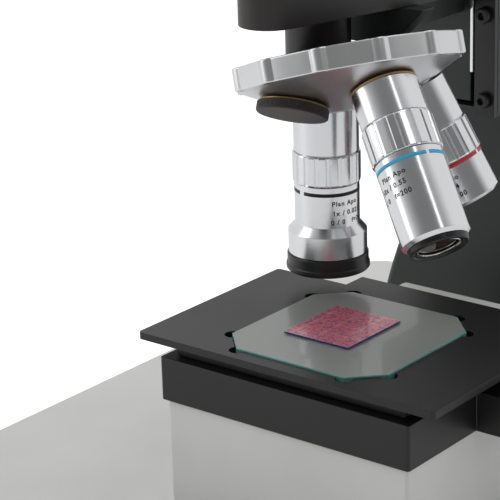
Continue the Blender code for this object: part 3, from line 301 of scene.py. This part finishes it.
# %% [markdown]
# Glass comes in three kinds here: coated lenses that look dark with a red cast, the clear
# tube lens and mirror, and the float glass of the stage, green at its edges because light
# travels a long way through it there.

# %% Glass
lens_red = Finish("coated_lens", metallic=0.0, roughness=0.06, coat_weight=1.0, coat_roughness=0.02)
lens_depth = lens_red.grain(90, 2)
lens_red.look(base_color=lens_red.mix(lens_depth, (0.02, 0.006, 0.003), (0.05, 0.016, 0.008)))
clear_lens = Finish("clear_lens", roughness=0.03, transmission_weight=1.0, ior=1.5)
clear_lens.look(base_color=clear_lens.mix(clear_lens.grain(40, 2), (0.9, 0.93, 0.95), (0.95, 0.94, 0.98)))
glass_face = Finish("float_glass_face", transmission_weight=0.35, ior=1.5, coat_weight=0.4,
                    coat_roughness=0.05)
face_cloud = glass_face.grain(10, 3)
glass_face.look(base_color=glass_face.mix(face_cloud, (0.38, 0.40, 0.38), (0.47, 0.49, 0.47)),
                roughness=0.26 + face_cloud * 0.1)
glass_edge = Finish("float_glass_edge", roughness=0.12, transmission_weight=0.3, ior=1.5)
edge_streak = glass_edge.grain(80, 3, (1, 1, 4))
glass_edge.look(base_color=glass_edge.mix(edge_streak, (0.03, 0.30, 0.25), (0.30, 0.62, 0.56)))

# %% [markdown]
# The specimen is a diced silicon chip. Its top repeats one cell in rows and columns, divided
# by paler lines, and thin films give it a red colour that drifts to violet.

# %% The chip's print
CELL = 5.0 * MM
chip_top = Finish("chip_top", metallic=0.25, coat_weight=0.6, coat_roughness=0.1)


def every(finish, along, pitch, share):
    """1 in a stripe that takes this share of each pitch, else 0."""
    saw = finish.add("ShaderNodeMath", {"operation": "FRACT"}, {0: along * (1 / pitch)})
    return finish.add("ShaderNodeMath", {"operation": "LESS_THAN"}, {0: saw, 1: share})


chip_x, chip_y = chip_top.axis("X"), chip_top.axis("Y")
fine_rows = every(chip_top, chip_y, CELL / 6, 0.35)
fine_columns = every(chip_top, chip_x, CELL / 3, 0.22)
main_rows = every(chip_top, chip_y, CELL * 2.1, 0.10)
main_columns = every(chip_top, chip_x, CELL * 2.5, 0.09)
speck = chip_top.add("ShaderNodeTexVoronoi", {"feature": "F1"},
                     {"Vector": chip_top.place, "Scale": 900.0}, out="Color")
speck_level = chip_top.add("ShaderNodeSeparateColor", sockets={0: speck}, out=0)
red_field = chip_top.mix(chip_top.grain(45, 3), (0.66, 0.09, 0.15), (0.84, 0.20, 0.25))
violet = chip_top.mix(chip_top.between(speck_level, 0.62, 0.7), red_field, (0.28, 0.05, 0.22))
ruled = chip_top.mix((fine_rows + fine_columns) * 0.22, violet, (0.90, 0.42, 0.42))
framed = chip_top.mix((main_rows + main_columns) * 0.3, ruled, (0.90, 0.50, 0.42))
chip_top.look(base_color=framed, roughness=0.34 + speck_level * 0.1)
chip_edge = Finish("chip_edge", metallic=0.6, roughness=0.3)
chip_edge.look(base_color=chip_edge.mix(chip_edge.grain(200, 2), (0.03, 0.04, 0.20), (0.10, 0.12, 0.35)))
print("finishes:", len(bpy.data.materials))

# %% [markdown]
# ## Making shapes
# Round pieces are spun from a half outline, as on a lathe. Castings and plates are taken from
# the solid and get their edges broken with a fine bevel, because no real edge is perfectly
# sharp and the thin highlight along it is what makes a machined part look real.

# %% Spinning, bevelling and dressing
EDGE = math.radians(28)


def made(name, mesh, finish, place=None):
    piece = bpy.data.objects.new(name, mesh)
    bpy.context.scene.collection.objects.link(piece)
    for one in finish if isinstance(finish, tuple) else (finish,):
        mesh.materials.append(one.material)
    if place is not None:
        piece.matrix_world = place
    return piece


def broken_edges(piece, width, segments=2):
    for face in piece.data.polygons:
        face.use_smooth = True
    bevel = piece.modifiers.new("broken_edges", "BEVEL")
    bevel.width, bevel.segments = width, segments
    bevel.limit_method, bevel.angle_limit = "ANGLE", EDGE
    bevel.use_clamp_overlap = True
    flat = piece.modifiers.new("even_shading", "WEIGHTED_NORMAL")
    flat.keep_sharp = True
    return piece


def spun_mesh(name, outline, sides=128, flutes=()):
    """Spins (radius, height) points round Z. A flute is (low, high, count, depth, share)."""
    rows = []
    outer = 0.9 * max(r for r, _ in outline)
    for (r0, z0), (r1, z1) in zip(outline, outline[1:]):
        rows.append((r0, z0))
        cuts = []
        for low, high, *_ in flutes:
            cuts += [low, low + 0.05 * MM, high - 0.05 * MM, high]
        for z in sorted(cuts, reverse=z1 < z0):
            straight = abs(r1 - r0) < 0.1 * MM and r0 > outer
            if straight and min(z0, z1) < z < max(z0, z1):
                rows.append((r0, z))
    rows.append(outline[-1])
    mesh = bmesh.new()
    previous = None
    for radius, height in rows:
        ring = []
        if radius < 1e-6:
            ring = [mesh.verts.new((0, 0, height))] * sides
        else:
            for k in range(sides):
                angle = 2 * math.pi * k / sides
                reach = radius
                for low, high, count, depth, share in flutes:
                    if low < height < high and radius > outer:
                        phase = (angle / (2 * math.pi) * count) % 1
                        reach -= depth if phase > share else 0
                ring.append(mesh.verts.new((reach * math.cos(angle), reach * math.sin(angle), height)))
        if previous:
            for k in range(sides):
                corners = []
                for vertex in (previous[k], previous[k - 1], ring[k - 1], ring[k]):
                    if vertex not in corners:
                        corners.append(vertex)
                if len(corners) > 2:
                    mesh.faces.new(corners)
        previous = ring
    bmesh.ops.recalc_face_normals(mesh, faces=mesh.faces)
    data = bpy.data.meshes.new(name)
    mesh.to_mesh(data)
    mesh.free()
    return data


def settle(piece, node, body=None):
    """The piece stands for a node: it rides on that node's body."""
    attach(piece, body or BODY_OF[node])
    return piece


def spun(name, outline, finish, place, body, stands_for=(), edge=0.15 * MM, sides=128, flutes=()):
    piece = made(name, spun_mesh(name, outline, sides, flutes), finish, place)
    broken_edges(piece, edge)
    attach(piece, body)
    if stands_for:
        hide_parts(*stands_for)
    return piece


def welded(node):
    mesh = bmesh.new()
    mesh.from_mesh(NODES[node].data)
    bmesh.ops.remove_doubles(mesh, verts=mesh.verts, dist=1e-6)
    bmesh.ops.dissolve_limit(mesh, angle_limit=math.radians(0.5), verts=mesh.verts, edges=mesh.edges)
    return mesh


def dressed(node, finish, edge=0.5 * MM):
    """The node's own shape with its edges broken."""
    mesh = welded(node)
    data = bpy.data.meshes.new(node + "_skin")
    mesh.to_mesh(data)
    mesh.free()
    piece = broken_edges(made(node + "_skin", data, finish), edge)
    settle(piece, node)
    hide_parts(node)
    return piece


def upright(centre, axis):
    """A place whose local Z runs along the axis."""
    return Matrix.Translation(centre) @ Vector(axis).to_track_quat("Z", "Y").to_matrix().to_4x4()


def half_outline(node, place):
    """The half outline of a turned node, read from the vertices of one of its half planes."""
    mesh = welded(node)
    local = place.inverted()
    points = [local @ v.co for v in mesh.verts]
    far = max(points, key=lambda p: math.hypot(p.x, p.y))
    heading = math.atan2(far.y, far.x)
    chosen = {}
    for v, p in zip(mesh.verts, points):
        radius = math.hypot(p.x, p.y)
        turn = (math.atan2(p.y, p.x) - heading + math.pi) % (2 * math.pi) - math.pi
        if radius < 0.05 * MM or abs(turn) < math.radians(1):
            chosen[v.index] = (0.0 if radius < 0.05 * MM else radius, p.z)
    links = {k: [] for k in chosen}
    for e in mesh.edges:
        a, b = (v.index for v in e.verts)
        if a in chosen and b in chosen:
            links[a].append(b)
            links[b].append(a)
    ends = [k for k in chosen if len(links[k]) == 1]
    start = max(ends, key=lambda k: chosen[k][1]) if ends else next(iter(chosen))
    order, seen = [start], {start}
    while True:
        onward = [k for k in links[order[-1]] if k not in seen]
        if not onward:
            break
        order.append(onward[0])
        seen.add(onward[0])
    outline = [chosen[k] for k in order]
    if not ends:
        outline.append(outline[0])
    mesh.free()
    return outline


def re_turned(node, centre, axis, finish, edge=0.3 * MM, sides=96, flutes=()):
    place = upright(centre, axis)
    outline = half_outline(node, place)
    return spun(node + "_skin", outline, finish, place, BODY_OF[node], (node,), edge, sides,
                flutes)


def middle(node):
    low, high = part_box(node)
    return (Vector(low) + Vector(high)) / 2


# %% [markdown]
# ## The turret
# The disc carries four objectives on a cone, leaning so that the one in use hangs straight
# down. Its rim has twelve low rounded ribs for the fingers, with a shallow hollow between them,
# and its underside is a flat cone on which the objectives seat square.

# %% Places on the turret
turret_joint = JOINTS["turret_turn"]
APEX, AXIS = Vector(turret_joint["pos_m"]), Vector(turret_joint["axis"]).normalized()
DOWN = Vector((0, 0, -1))
LEAN = AXIS.angle(DOWN)
APEX_RISE = 94.55 * MM
side = (DOWN - AXIS * DOWN.dot(AXIS)).normalized()
TURRET = Matrix.Translation(APEX) @ Matrix((side, (-AXIS).cross(side), -AXIS)).transposed().to_4x4()


def port(number):
    """Origin at a port's shoulder, local -Z down its barrel; port 0 hangs straight down."""
    turn = Matrix.Rotation(-number * math.pi / 2, 4, "Z")
    lean = Matrix.Rotation(-LEAN, 4, "Y")
    return TURRET @ turn @ lean @ Matrix.Translation((0, 0, -APEX_RISE))


LOW, MID, HIGH, SPARE = (port(number) for number in range(4))
print("lean", round(math.degrees(LEAN), 2), "degrees")

# %% The disc
DISC_TOP, DISC_RIM, DISC_RADIUS = 67.7 * MM, 79.05 * MM, 54.6 * MM
RIB_COUNT, RIB_RISE, RIB_PHASE = 12, 1.9 * MM, math.radians(20)
RIB_SHARE = 0.26         # half a rib's width in half pitches
RIM_HOLLOW = 0.7 * MM    # depth of the hollow between two ribs
DISC_SIDES = 432
SHOULDER_DROP = APEX_RISE * math.cos(LEAN)
SHOULDER_OUT = APEX_RISE * math.sin(LEAN)


def rim_radius(angle):
    """A narrow round rib on a slightly hollow edge."""
    phase = RIB_COUNT * (angle - RIB_PHASE) / (2 * math.pi)
    off = abs(phase - round(phase)) * 2
    rib = RIB_RISE * max(0.0, 1 - (off / RIB_SHARE) ** 2) ** 0.75 if off < RIB_SHARE else 0.0
    sweep = math.pi * (off - RIB_SHARE) / (2 * (1 - RIB_SHARE))
    hollow = -RIM_HOLLOW * math.sin(sweep) if off >= RIB_SHARE else 0.0
    return DISC_RADIUS + rib + hollow


def cone_drop(radius):
    return SHOULDER_DROP + (SHOULDER_OUT - radius) * math.tan(LEAN)


disc = bmesh.new()
CONE_EDGE = DISC_RADIUS - 1.9 * MM
rows = [("in", 41 * MM, 74.4 * MM), ("in", 42 * MM, 74.4 * MM), ("in", 42 * MM, DISC_TOP),
        ("rim", -0.9 * MM, DISC_TOP), ("rim", -0.2 * MM, DISC_TOP + 0.25 * MM),
        ("rim", 0.0, DISC_TOP + 0.9 * MM), ("rim", 0.0, DISC_RIM - 1.0 * MM),
        ("rim", -0.25 * MM, DISC_RIM - 0.3 * MM), ("rim", -0.9 * MM, DISC_RIM),
        ("in", CONE_EDGE, DISC_RIM + 0.35 * MM), ("in", 40 * MM, cone_drop(40 * MM)),
        ("in", 14 * MM, cone_drop(14 * MM)), ("in", 0.5 * MM, cone_drop(14 * MM))]
previous = None
for kind, reach, drop in rows:
    ring = []
    for k in range(DISC_SIDES):
        angle = 2 * math.pi * k / DISC_SIDES
        radius = rim_radius(angle) + reach if kind == "rim" else reach
        ring.append(disc.verts.new((radius * math.cos(angle), radius * math.sin(angle), -drop)))
    if previous:
        for k in range(DISC_SIDES):
            disc.faces.new((previous[k - 1], previous[k], ring[k], ring[k - 1]))
    else:
        disc.faces.new(ring)
    previous = ring
disc.faces.new(previous)
bmesh.ops.recalc_face_normals(disc, faces=disc.faces)
data = bpy.data.meshes.new("turret_disc_skin")
disc.to_mesh(data)
disc.free()
turret_skin = broken_edges(made("turret_disc_skin", data, blasted, TURRET), 0.3 * MM)
settle(turret_skin, "turret_disc")
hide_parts("turret_disc")

# %% [markdown]
# ## The objectives
# Each barrel is turned from one bar: a plain upper part, a fluted grip that is a separate
# sleeve a little wider than the barrel, a coloured ring that tells the power, then the plain
# nose. The ring is a shallow groove filled with enamel and has one short gap.

# %% Barrels
BARREL, GRIP = 16.2 * MM, 17.0 * MM
BORE, THREAD, THREAD_TOP = 8.4 * MM, 10.4 * MM, 4.2 * MM
GRIP_BORE = 15.9 * MM
GRIP_FLATS = 18
FLAT_SHARE = 0.66        # the rest of each pitch is the step between two flats
STEP_DEPTH = 0.75 * MM
FLAT_HOLLOW = 0.75       # 1 is a true flat, 0 leaves the sleeve round
RING_WIDTH = 1.8 * MM


def grip_sleeve(name, low, high, place):
    """Broad flats with a narrow step between them, and a turned collar at both ends."""
    mesh = bmesh.new()
    steps = 12
    sides = GRIP_FLATS * steps
    levels = [(low, GRIP_BORE, 0), (low, GRIP - 0.35 * MM, 0), (low + 0.5 * MM, GRIP - 0.05 * MM, 1),
              (low + 0.9 * MM, GRIP, 1), (high - 0.9 * MM, GRIP, 1),
              (high - 0.5 * MM, GRIP - 0.05 * MM, 1), (high, GRIP - 0.35 * MM, 0), (high, GRIP_BORE, 0)]
    previous = None
    for height, radius, fluted in levels:
        ring = []
        for k in range(sides):
            share = (k % steps) / steps
            angle = 2 * math.pi * k / sides
            drop = 0.0
            if fluted and share >= FLAT_SHARE:
                drop = STEP_DEPTH
            elif fluted:
                half = math.pi / GRIP_FLATS * FLAT_SHARE
                across = (share / FLAT_SHARE - 0.5) * 2 * half
                drop = radius * (1 - math.cos(half) / math.cos(across)) * FLAT_HOLLOW
            reach = radius - drop
            ring.append(mesh.verts.new((reach * math.cos(angle), reach * math.sin(angle), height)))
        if previous:
            for k in range(sides):
                mesh.faces.new((previous[k - 1], previous[k], ring[k], ring[k - 1]))
        previous = ring
    bmesh.ops.recalc_face_normals(mesh, faces=mesh.faces)
    data = bpy.data.meshes.new(name)
    mesh.to_mesh(data)
    mesh.free()
    piece = broken_edges(made(name, data, satin_chrome, place), 0.12 * MM)
    settle(piece, "turret_disc")


def colour_ring(name, top, finish, place, gap_at, gap_width):
    """An open band of enamel that fills its groove."""
    mesh = bmesh.new()
    count = 120
    start = gap_at + gap_width / 2
    sweep = 2 * math.pi - gap_width
    inner, outer = BARREL - 0.3 * MM, BARREL + 0.04 * MM
    section = ((inner, top), (outer, top), (outer, top - RING_WIDTH), (inner, top - RING_WIDTH))
    columns = []
    for k in range(count + 1):
        angle = start + sweep * k / count
        columns.append([mesh.verts.new((r * math.cos(angle), r * math.sin(angle), z))
                        for r, z in section])
    for a, b in zip(columns, columns[1:]):
        for k in range(4):
            mesh.faces.new((a[k - 1], a[k], b[k], b[k - 1]))
    mesh.faces.new(columns[0])
    mesh.faces.new(columns[-1])
    bmesh.ops.recalc_face_normals(mesh, faces=mesh.faces)
    data = bpy.data.meshes.new(name)
    mesh.to_mesh(data)
    mesh.free()
    piece = made(name, data, finish, place)
    for face in data.polygons:
        face.use_smooth = abs(face.normal.z) < 0.5 and len(face.vertices) == 4
    settle(piece, "turret_disc")


def barrel(name, node, place, length, grip, tail, lift=0.0):
    """tail is the outline below the grip, from the barrel's radius to its mouth."""
    outline = [(BORE, THREAD_TOP), (THREAD, THREAD_TOP), (THREAD, -lift), (BARREL, -lift),
               (BARREL, -grip[0] + 0.7 * MM), (BARREL - 0.5 * MM, -grip[0] + 0.5 * MM),
               (BARREL - 0.5 * MM, -grip[1] - 0.3 * MM), (BARREL, -grip[1] - 0.5 * MM)] + tail
    spun(name, outline, satin_chrome, place, "turret", (node,), 0.12 * MM, 160)
    grip_sleeve(name + "_grip", -grip[1], -grip[0], place)
    print(name, "is", round(length / MM, 1), "mm long")


LOW_GRIP = (23.3 * MM, 38.4 * MM)
HIGH_GRIP = (19.2 * MM, 36.6 * MM)
MID_GRIP = (22.7 * MM, 39.2 * MM)
barrel("low_power_barrel", "objective_low_barrel", LOW, 84 * MM, LOW_GRIP, [
    (BARREL, -59.6 * MM), (19.7 * MM, -63.7 * MM), (19.7 * MM, -75.0 * MM), (12 * MM, -75.0 * MM),
    (12 * MM, -70 * MM), (BORE, -67 * MM)])
barrel("high_power_barrel", "objective_high_barrel", HIGH, 82 * MM, HIGH_GRIP, [
    (BARREL, -77.2 * MM), (BARREL - 1.7 * MM, -79 * MM), (12 * MM, -79 * MM),
    (12 * MM, -72 * MM), (BORE, -70 * MM)], 1.3 * MM)
barrel("mid_power_barrel", "objective_mid_barrel", MID, 61 * MM, MID_GRIP, [
    (BARREL, -59.5 * MM), (BARREL - 1.5 * MM, -61 * MM), (12 * MM, -61 * MM), (11 * MM, -56 * MM),
    (3 * MM, -55 * MM), (0, -55 * MM)])

# %% [markdown]
# The low-power objective wears a loose black hood, the high-power one a black bezel round a
# deep red lens and a thin brass washer under its shoulder. A plug with fine ridges round
# its edge closes the fourth port.

# %% Hood, bezel, lenses, washer and plug
spun("low_power_hood", [
    (12.6 * MM, -75.3 * MM), (20.0 * MM, -75.3 * MM), (20.4 * MM, -75.8 * MM), (20.4 * MM, -80.8 * MM),
    (20.95 * MM, -81.2 * MM), (21.0 * MM, -83.3 * MM), (20.4 * MM, -84 * MM), (17 * MM, -84 * MM),
    (15 * MM, -77.4 * MM), (12.6 * MM, -77.4 * MM), (12.6 * MM, -75.3 * MM)],
    hood_black, LOW, "low_hood", ("objective_low_hood",), 0.2 * MM, 160)
spun("high_power_bezel", [
    (12 * MM, -79.3 * MM), (14.5 * MM, -79.3 * MM), (14.2 * MM, -81.4 * MM), (13.6 * MM, -82 * MM),
    (12.2 * MM, -82 * MM), (11.6 * MM, -81.2 * MM), (10 * MM, -80.8 * MM), (10 * MM, -79.3 * MM),
    (12 * MM, -79.3 * MM)],
    hood_black, HIGH, "turret", ("objective_high_bezel",), 0.12 * MM)
spun("high_power_lens_ring", [
    (9.5 * MM, -80.5 * MM), (10.6 * MM, -81.1 * MM), (10.3 * MM, -81.4 * MM), (9.5 * MM, -80.9 * MM),
    (9.5 * MM, -80.5 * MM)], bright_chrome, HIGH, "turret", (), 0.05 * MM)


def dome(radius, rim, rise, back_height, steps=8):
    """A lens outline: a shallow dome below and a flat back."""
    curve = [(radius * math.sin(a), rim - rise * (math.cos(a) - math.cos(math.pi / 2)))
             for a in (math.pi / 2 * k / steps for k in range(steps + 1))]
    return curve + [(radius, back_height), (0, back_height)]


spun("high_power_lens", dome(9.4 * MM, -79.6 * MM, 0.9 * MM, -76.9 * MM), lens_red, HIGH, "turret",
     ("objective_high_lens",), 0.05 * MM, 96)
spun("low_power_lens", dome(11.7 * MM, -74.0 * MM, 0.8 * MM, -71.5 * MM), lens_red, LOW, "turret",
     ("objective_low_lens",), 0.05 * MM, 96)
spun("mid_power_lens", dome(7.5 * MM, -58 * MM, 0.8 * MM, -55.4 * MM), lens_red, MID, "turret",
     (), 0.05 * MM, 96)
spun("brass_washer", [
    (10.7 * MM, 0), (16.0 * MM, 0), (16.25 * MM, -0.5 * MM), (16.0 * MM, -1.0 * MM),
    (10.7 * MM, -1.0 * MM), (10.7 * MM, 0)],
    brass, HIGH, "turret", ("high_spacer_ring",), 0.05 * MM, 160)
spun("port_plug_skin", [
    (0, THREAD_TOP), (THREAD, THREAD_TOP), (THREAD, -0.7 * MM), (16.7 * MM, -0.7 * MM),
    (17.2 * MM, -1.1 * MM), (17.2 * MM, -4.9 * MM), (16.6 * MM, -5.5 * MM), (0, -5.5 * MM)],
    knurl_brown, SPARE, "turret", ("port_plug",), 0.3 * MM, 360,
    ((-4.7 * MM, -1.3 * MM, 90, 0.22 * MM, 0.5),))
spun("plug_brass_rim", [
    (10.7 * MM, 0), (16.3 * MM, 0), (16.3 * MM, -0.6 * MM), (10.7 * MM, -0.6 * MM), (10.7 * MM, 0)],
    brass, SPARE, "turret", (), 0.05 * MM)

# %% [markdown]
# The coloured rings: black for the lowest power, red for the middle and light blue for the
# highest, as the colour code for objectives has it.

# %% Colour rings
ring_black = painted("ring_black", (0.012, 0.012, 0.012), 0.4, 0.3 * MM, 0.002 * MM)
ring_red = painted("ring_red", (0.72, 0.02, 0.03), 0.35, 0.3 * MM, 0.002 * MM)
ring_blue = painted("ring_blue", (0.04, 0.52, 0.90), 0.35, 0.3 * MM, 0.002 * MM)


def facing(place):
    """The angle round a barrel of the side that looks at the camera."""
    local = place.to_3x3().inverted() @ (CAMERA_PLACE - place.translation)
    return math.atan2(local.y, local.x)


FACING_LOW, FACING_HIGH, FACING_MID = facing(LOW), facing(HIGH), facing(MID)
print("facing", [round(math.degrees(a), 1) for a in (FACING_LOW, FACING_HIGH, FACING_MID)])
colour_ring("low_power_ring", -41.6 * MM, ring_black, LOW, FACING_LOW - math.radians(50),
            math.radians(11))
colour_ring("high_power_ring", -39.8 * MM, ring_blue, HIGH, FACING_HIGH + math.radians(35),
            math.radians(6))
colour_ring("mid_power_ring", -39.7 * MM, ring_red, MID, FACING_MID + math.radians(57),
            math.radians(6))

# %% [markdown]
# The engraving gives the power, the aperture and the tube focal length. Text is made flat,
# turned into a mesh and rolled round the barrel, a hair above the metal.

# %% Engraving
CAP = 3.4 * MM
ENGRAVED = BARREL + 0.05 * MM


def engraved(name, text, place, side, angle, height):
    """side "from" starts the line at the angle, side "to" ends it there."""
    curve = bpy.data.curves.new(name, "FONT")
    curve.body, curve.size, curve.resolution_u = text, CAP, 3
    curve.space_character, curve.offset = 1.2, CAP * 0.03
    flat = bpy.data.objects.new(name, curve)
    bpy.context.scene.collection.objects.link(flat)
    bpy.context.view_layer.update()
    data = bpy.data.meshes.new_from_object(flat)
    bpy.data.objects.remove(flat)
    sweep = max(v.co.x for v in data.vertices) / ENGRAVED
    start = angle - sweep if side == "to" else angle
    for v in data.vertices:
        turn = start + v.co.x / ENGRAVED
        v.co = (ENGRAVED * math.cos(turn), ENGRAVED * math.sin(turn), height + v.co.y)
    data.name = name
    data.materials.clear()
    settle(made(name, data, ring_black, place), "turret_disc")
    return sweep


ENGRAVINGS = {
    "low": (LOW, FACING_LOW, "from", (8, 9, 6), (-48.1, -53.0, -57.6), "1x / 0.025"),
    "high": (HIGH, FACING_HIGH, "to", (-10.5, -15, -10.5), (-47.1, -51.8, -56.7), "50x / 0.55"),
    "mid": (MID, FACING_MID, "to", (0, -5, 2), (-47.2, -51.5, -55.9), "5x / 0.14"),
}
for power, (place, front, side, angles, heights, values) in ENGRAVINGS.items():
    for number, text in enumerate(("Plan Apo", values, "0 / 0   f=200"), 1):
        angle, height = front + math.radians(angles[number - 1]), heights[number - 1] * MM
        sweep = engraved(f"{power}_power_line_{number}", text, place, side, angle, height)
        print(power, number, "sweeps", round(math.degrees(sweep)), "degrees")

# %% [markdown]
# ## The stage
# A flat black plate holds an octagon of float glass over the light well. The glass sits on a
# ledge and stands slightly proud, so its polished edge catches the light all round.

# %% Glass and chip
def slab(name, node, finish, edge):
    """A node whose upright faces take the second finish."""
    side_slot = 1
    mesh = welded(node)
    data = bpy.data.meshes.new(name)
    mesh.to_mesh(data)
    mesh.free()
    piece = made(name, data, finish)
    for face in data.polygons:
        face.material_index = side_slot if abs(face.normal.z) < 0.5 else 0
    bevel = broken_edges(piece, edge).modifiers["broken_edges"]
    bevel.material = side_slot
    settle(piece, node)
    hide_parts(node)


slab("stage_glass_skin", "glass_insert", (glass_face, glass_edge), 0.5 * MM)
slab("chip_skin", "specimen_chip", (chip_top, chip_edge), 0.05 * MM)
chip_low, chip_high = (Vector(v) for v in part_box("specimen_chip"))
print("chip", [round(v / MM, 1) for v in chip_high - chip_low])

# %% [markdown]
# ## Castings and plates
# The rest of the stand keeps the solid's shape. Cast pieces get a wider radius on their edges
# than milled ones.

# %% Dressing the castings and plates
CAST, MILLED, FINE = 1.2 * MM, 0.5 * MM, 0.25 * MM
for node, finish, width in (
        ("base_casting", pale_enamel, CAST), ("stage_bed", pale_enamel, CAST),
        ("column", column_green, CAST),
        ("guide_block", column_green, MILLED), ("focus_carriage", column_green, MILLED),
        ("head_bracket", column_green, MILLED), ("head_housing", head_black, MILLED),
        ("nosepiece_mount", head_black, FINE), ("binocular_body", head_black, CAST),
        ("prism_arm_left", head_black, MILLED), ("prism_arm_right", head_black, MILLED),
        ("guide_plate_left", hood_black, FINE), ("guide_plate_right", hood_black, FINE),
        ("guide_rail_left", bright_chrome, FINE), ("guide_rail_right", bright_chrome, FINE),
        ("guide_screw_1", hood_black, FINE), ("guide_screw_2", hood_black, FINE),
        ("focus_rack", ground_steel, 0.05 * MM), ("coarse_shaft", ground_steel, 0.05 * MM),
        ("inlet_socket", knurl_brown, FINE), ("power_switch", knurl_brown, FINE),
        ("filter_slider", satin_chrome, FINE), ("aperture_ring", satin_chrome, FINE),
        ("field_ring", satin_chrome, FINE), ("half_mirror", clear_lens, 0.05 * MM),
        ("stage_plate", plate_black, 0.35 * MM), ("x_slide", plate_black, FINE),
        ("y_saddle", plate_black, MILLED), ("x_rail_cover", plate_black, MILLED)):
    dressed(node, finish, width)

# %% [markdown]
# ## Knobs, feet and eyepieces
# These were spun on a coarse step in the solid model. Their outline is read back from the
# solid and spun again on a fine one, with flutes round the coarse focus knobs.

# %% Spinning the round pieces again
ACROSS, UPWARD = Vector((1, 0, 0)), Vector((0, 0, 1))
pinion = Vector(JOINTS["coarse_turn"]["pos_m"])
eye_axis = Vector(JOINTS["diopter_turn"]["axis"])
eye_left = Vector(JOINTS["diopter_turn"]["pos_m"])
eye_right = Vector((-eye_left.x, eye_left.y, eye_left.z))
for name in ("front_left", "front_right", "rear_left", "rear_right"):
    re_turned("foot_" + name, middle("foot_" + name), UPWARD, foot_rubber)
KNOB_MARGIN = 3.2 * MM    # plain metal left at each end of a fluted knob
for name in ("coarse_knob_left", "coarse_knob_right", "fine_knob_left", "fine_knob_right"):
    low, high = (v.x for v in map(Vector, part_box(name)))
    flutes = ((low + KNOB_MARGIN, high - KNOB_MARGIN, 72, 0.5 * MM, 0.5),) if "coarse" in name else ()
    re_turned(name, (0, pinion.y, pinion.z), ACROSS, head_black, 0.4 * MM, 288, flutes)
for name, finish in (("lamp_house", column_green), ("lamp_rear_cap", head_black),
                     ("lamp_bulb", ground_steel)):
    re_turned(name, middle(name), ACROSS, finish)
re_turned("camera_port_cap", middle("camera_port_cap"), UPWARD, knurl_brown, 0.4 * MM)
re_turned("tube_lens", middle("tube_lens"), UPWARD, clear_lens, 0.05 * MM)
re_turned("eyepiece_left", eye_left, eye_axis, knurl_brown, 0.4 * MM)
re_turned("eyepiece_right", eye_right, eye_axis, knurl_brown, 0.4 * MM)
re_turned("diopter_ring", eye_left, eye_axis, head_black, 0.3 * MM)
knob = Vector(JOINTS["x_knob_turn"]["pos_m"])
for name in ("stage_x_knob", "stage_y_knob"):
    re_turned(name, (knob.x, knob.y, 0), UPWARD, knurl_brown, 0.4 * MM, 288)
dressed("brightness_dial", knurl_brown, 0.3 * MM)

# %% [markdown]
# ## The table
# A plain pale surface with no edge in view, so the stand seems to rest on nothing but light.

# %% Floor
floor_finish = painted("floor", (0.93, 0.93, 0.93), 0.6, 1.0 * MM, 0.005 * MM)
seen = floor_finish.add("ShaderNodeLightPath", out="Is Camera Ray")
floor_finish.look(emission_color=floor_finish.mix(seen, (0.3, 0.3, 0.3), (1, 1, 1)),
                  emission_strength=0.6)
FLOOR_HALF = 6.0
floor_mesh = bpy.data.meshes.new("floor")
floor_mesh.from_pydata([(-FLOOR_HALF, -FLOOR_HALF, 0), (FLOOR_HALF, -FLOOR_HALF, 0),
                        (FLOOR_HALF, FLOOR_HALF, 0), (-FLOOR_HALF, FLOOR_HALF, 0)], [], [(0, 1, 2, 3)])
floor = made("floor", floor_mesh, floor_finish)
floor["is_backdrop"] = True

# %% [markdown]
# The model's box is worked out, without the floor.

# %% Sizes and the end
low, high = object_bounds()
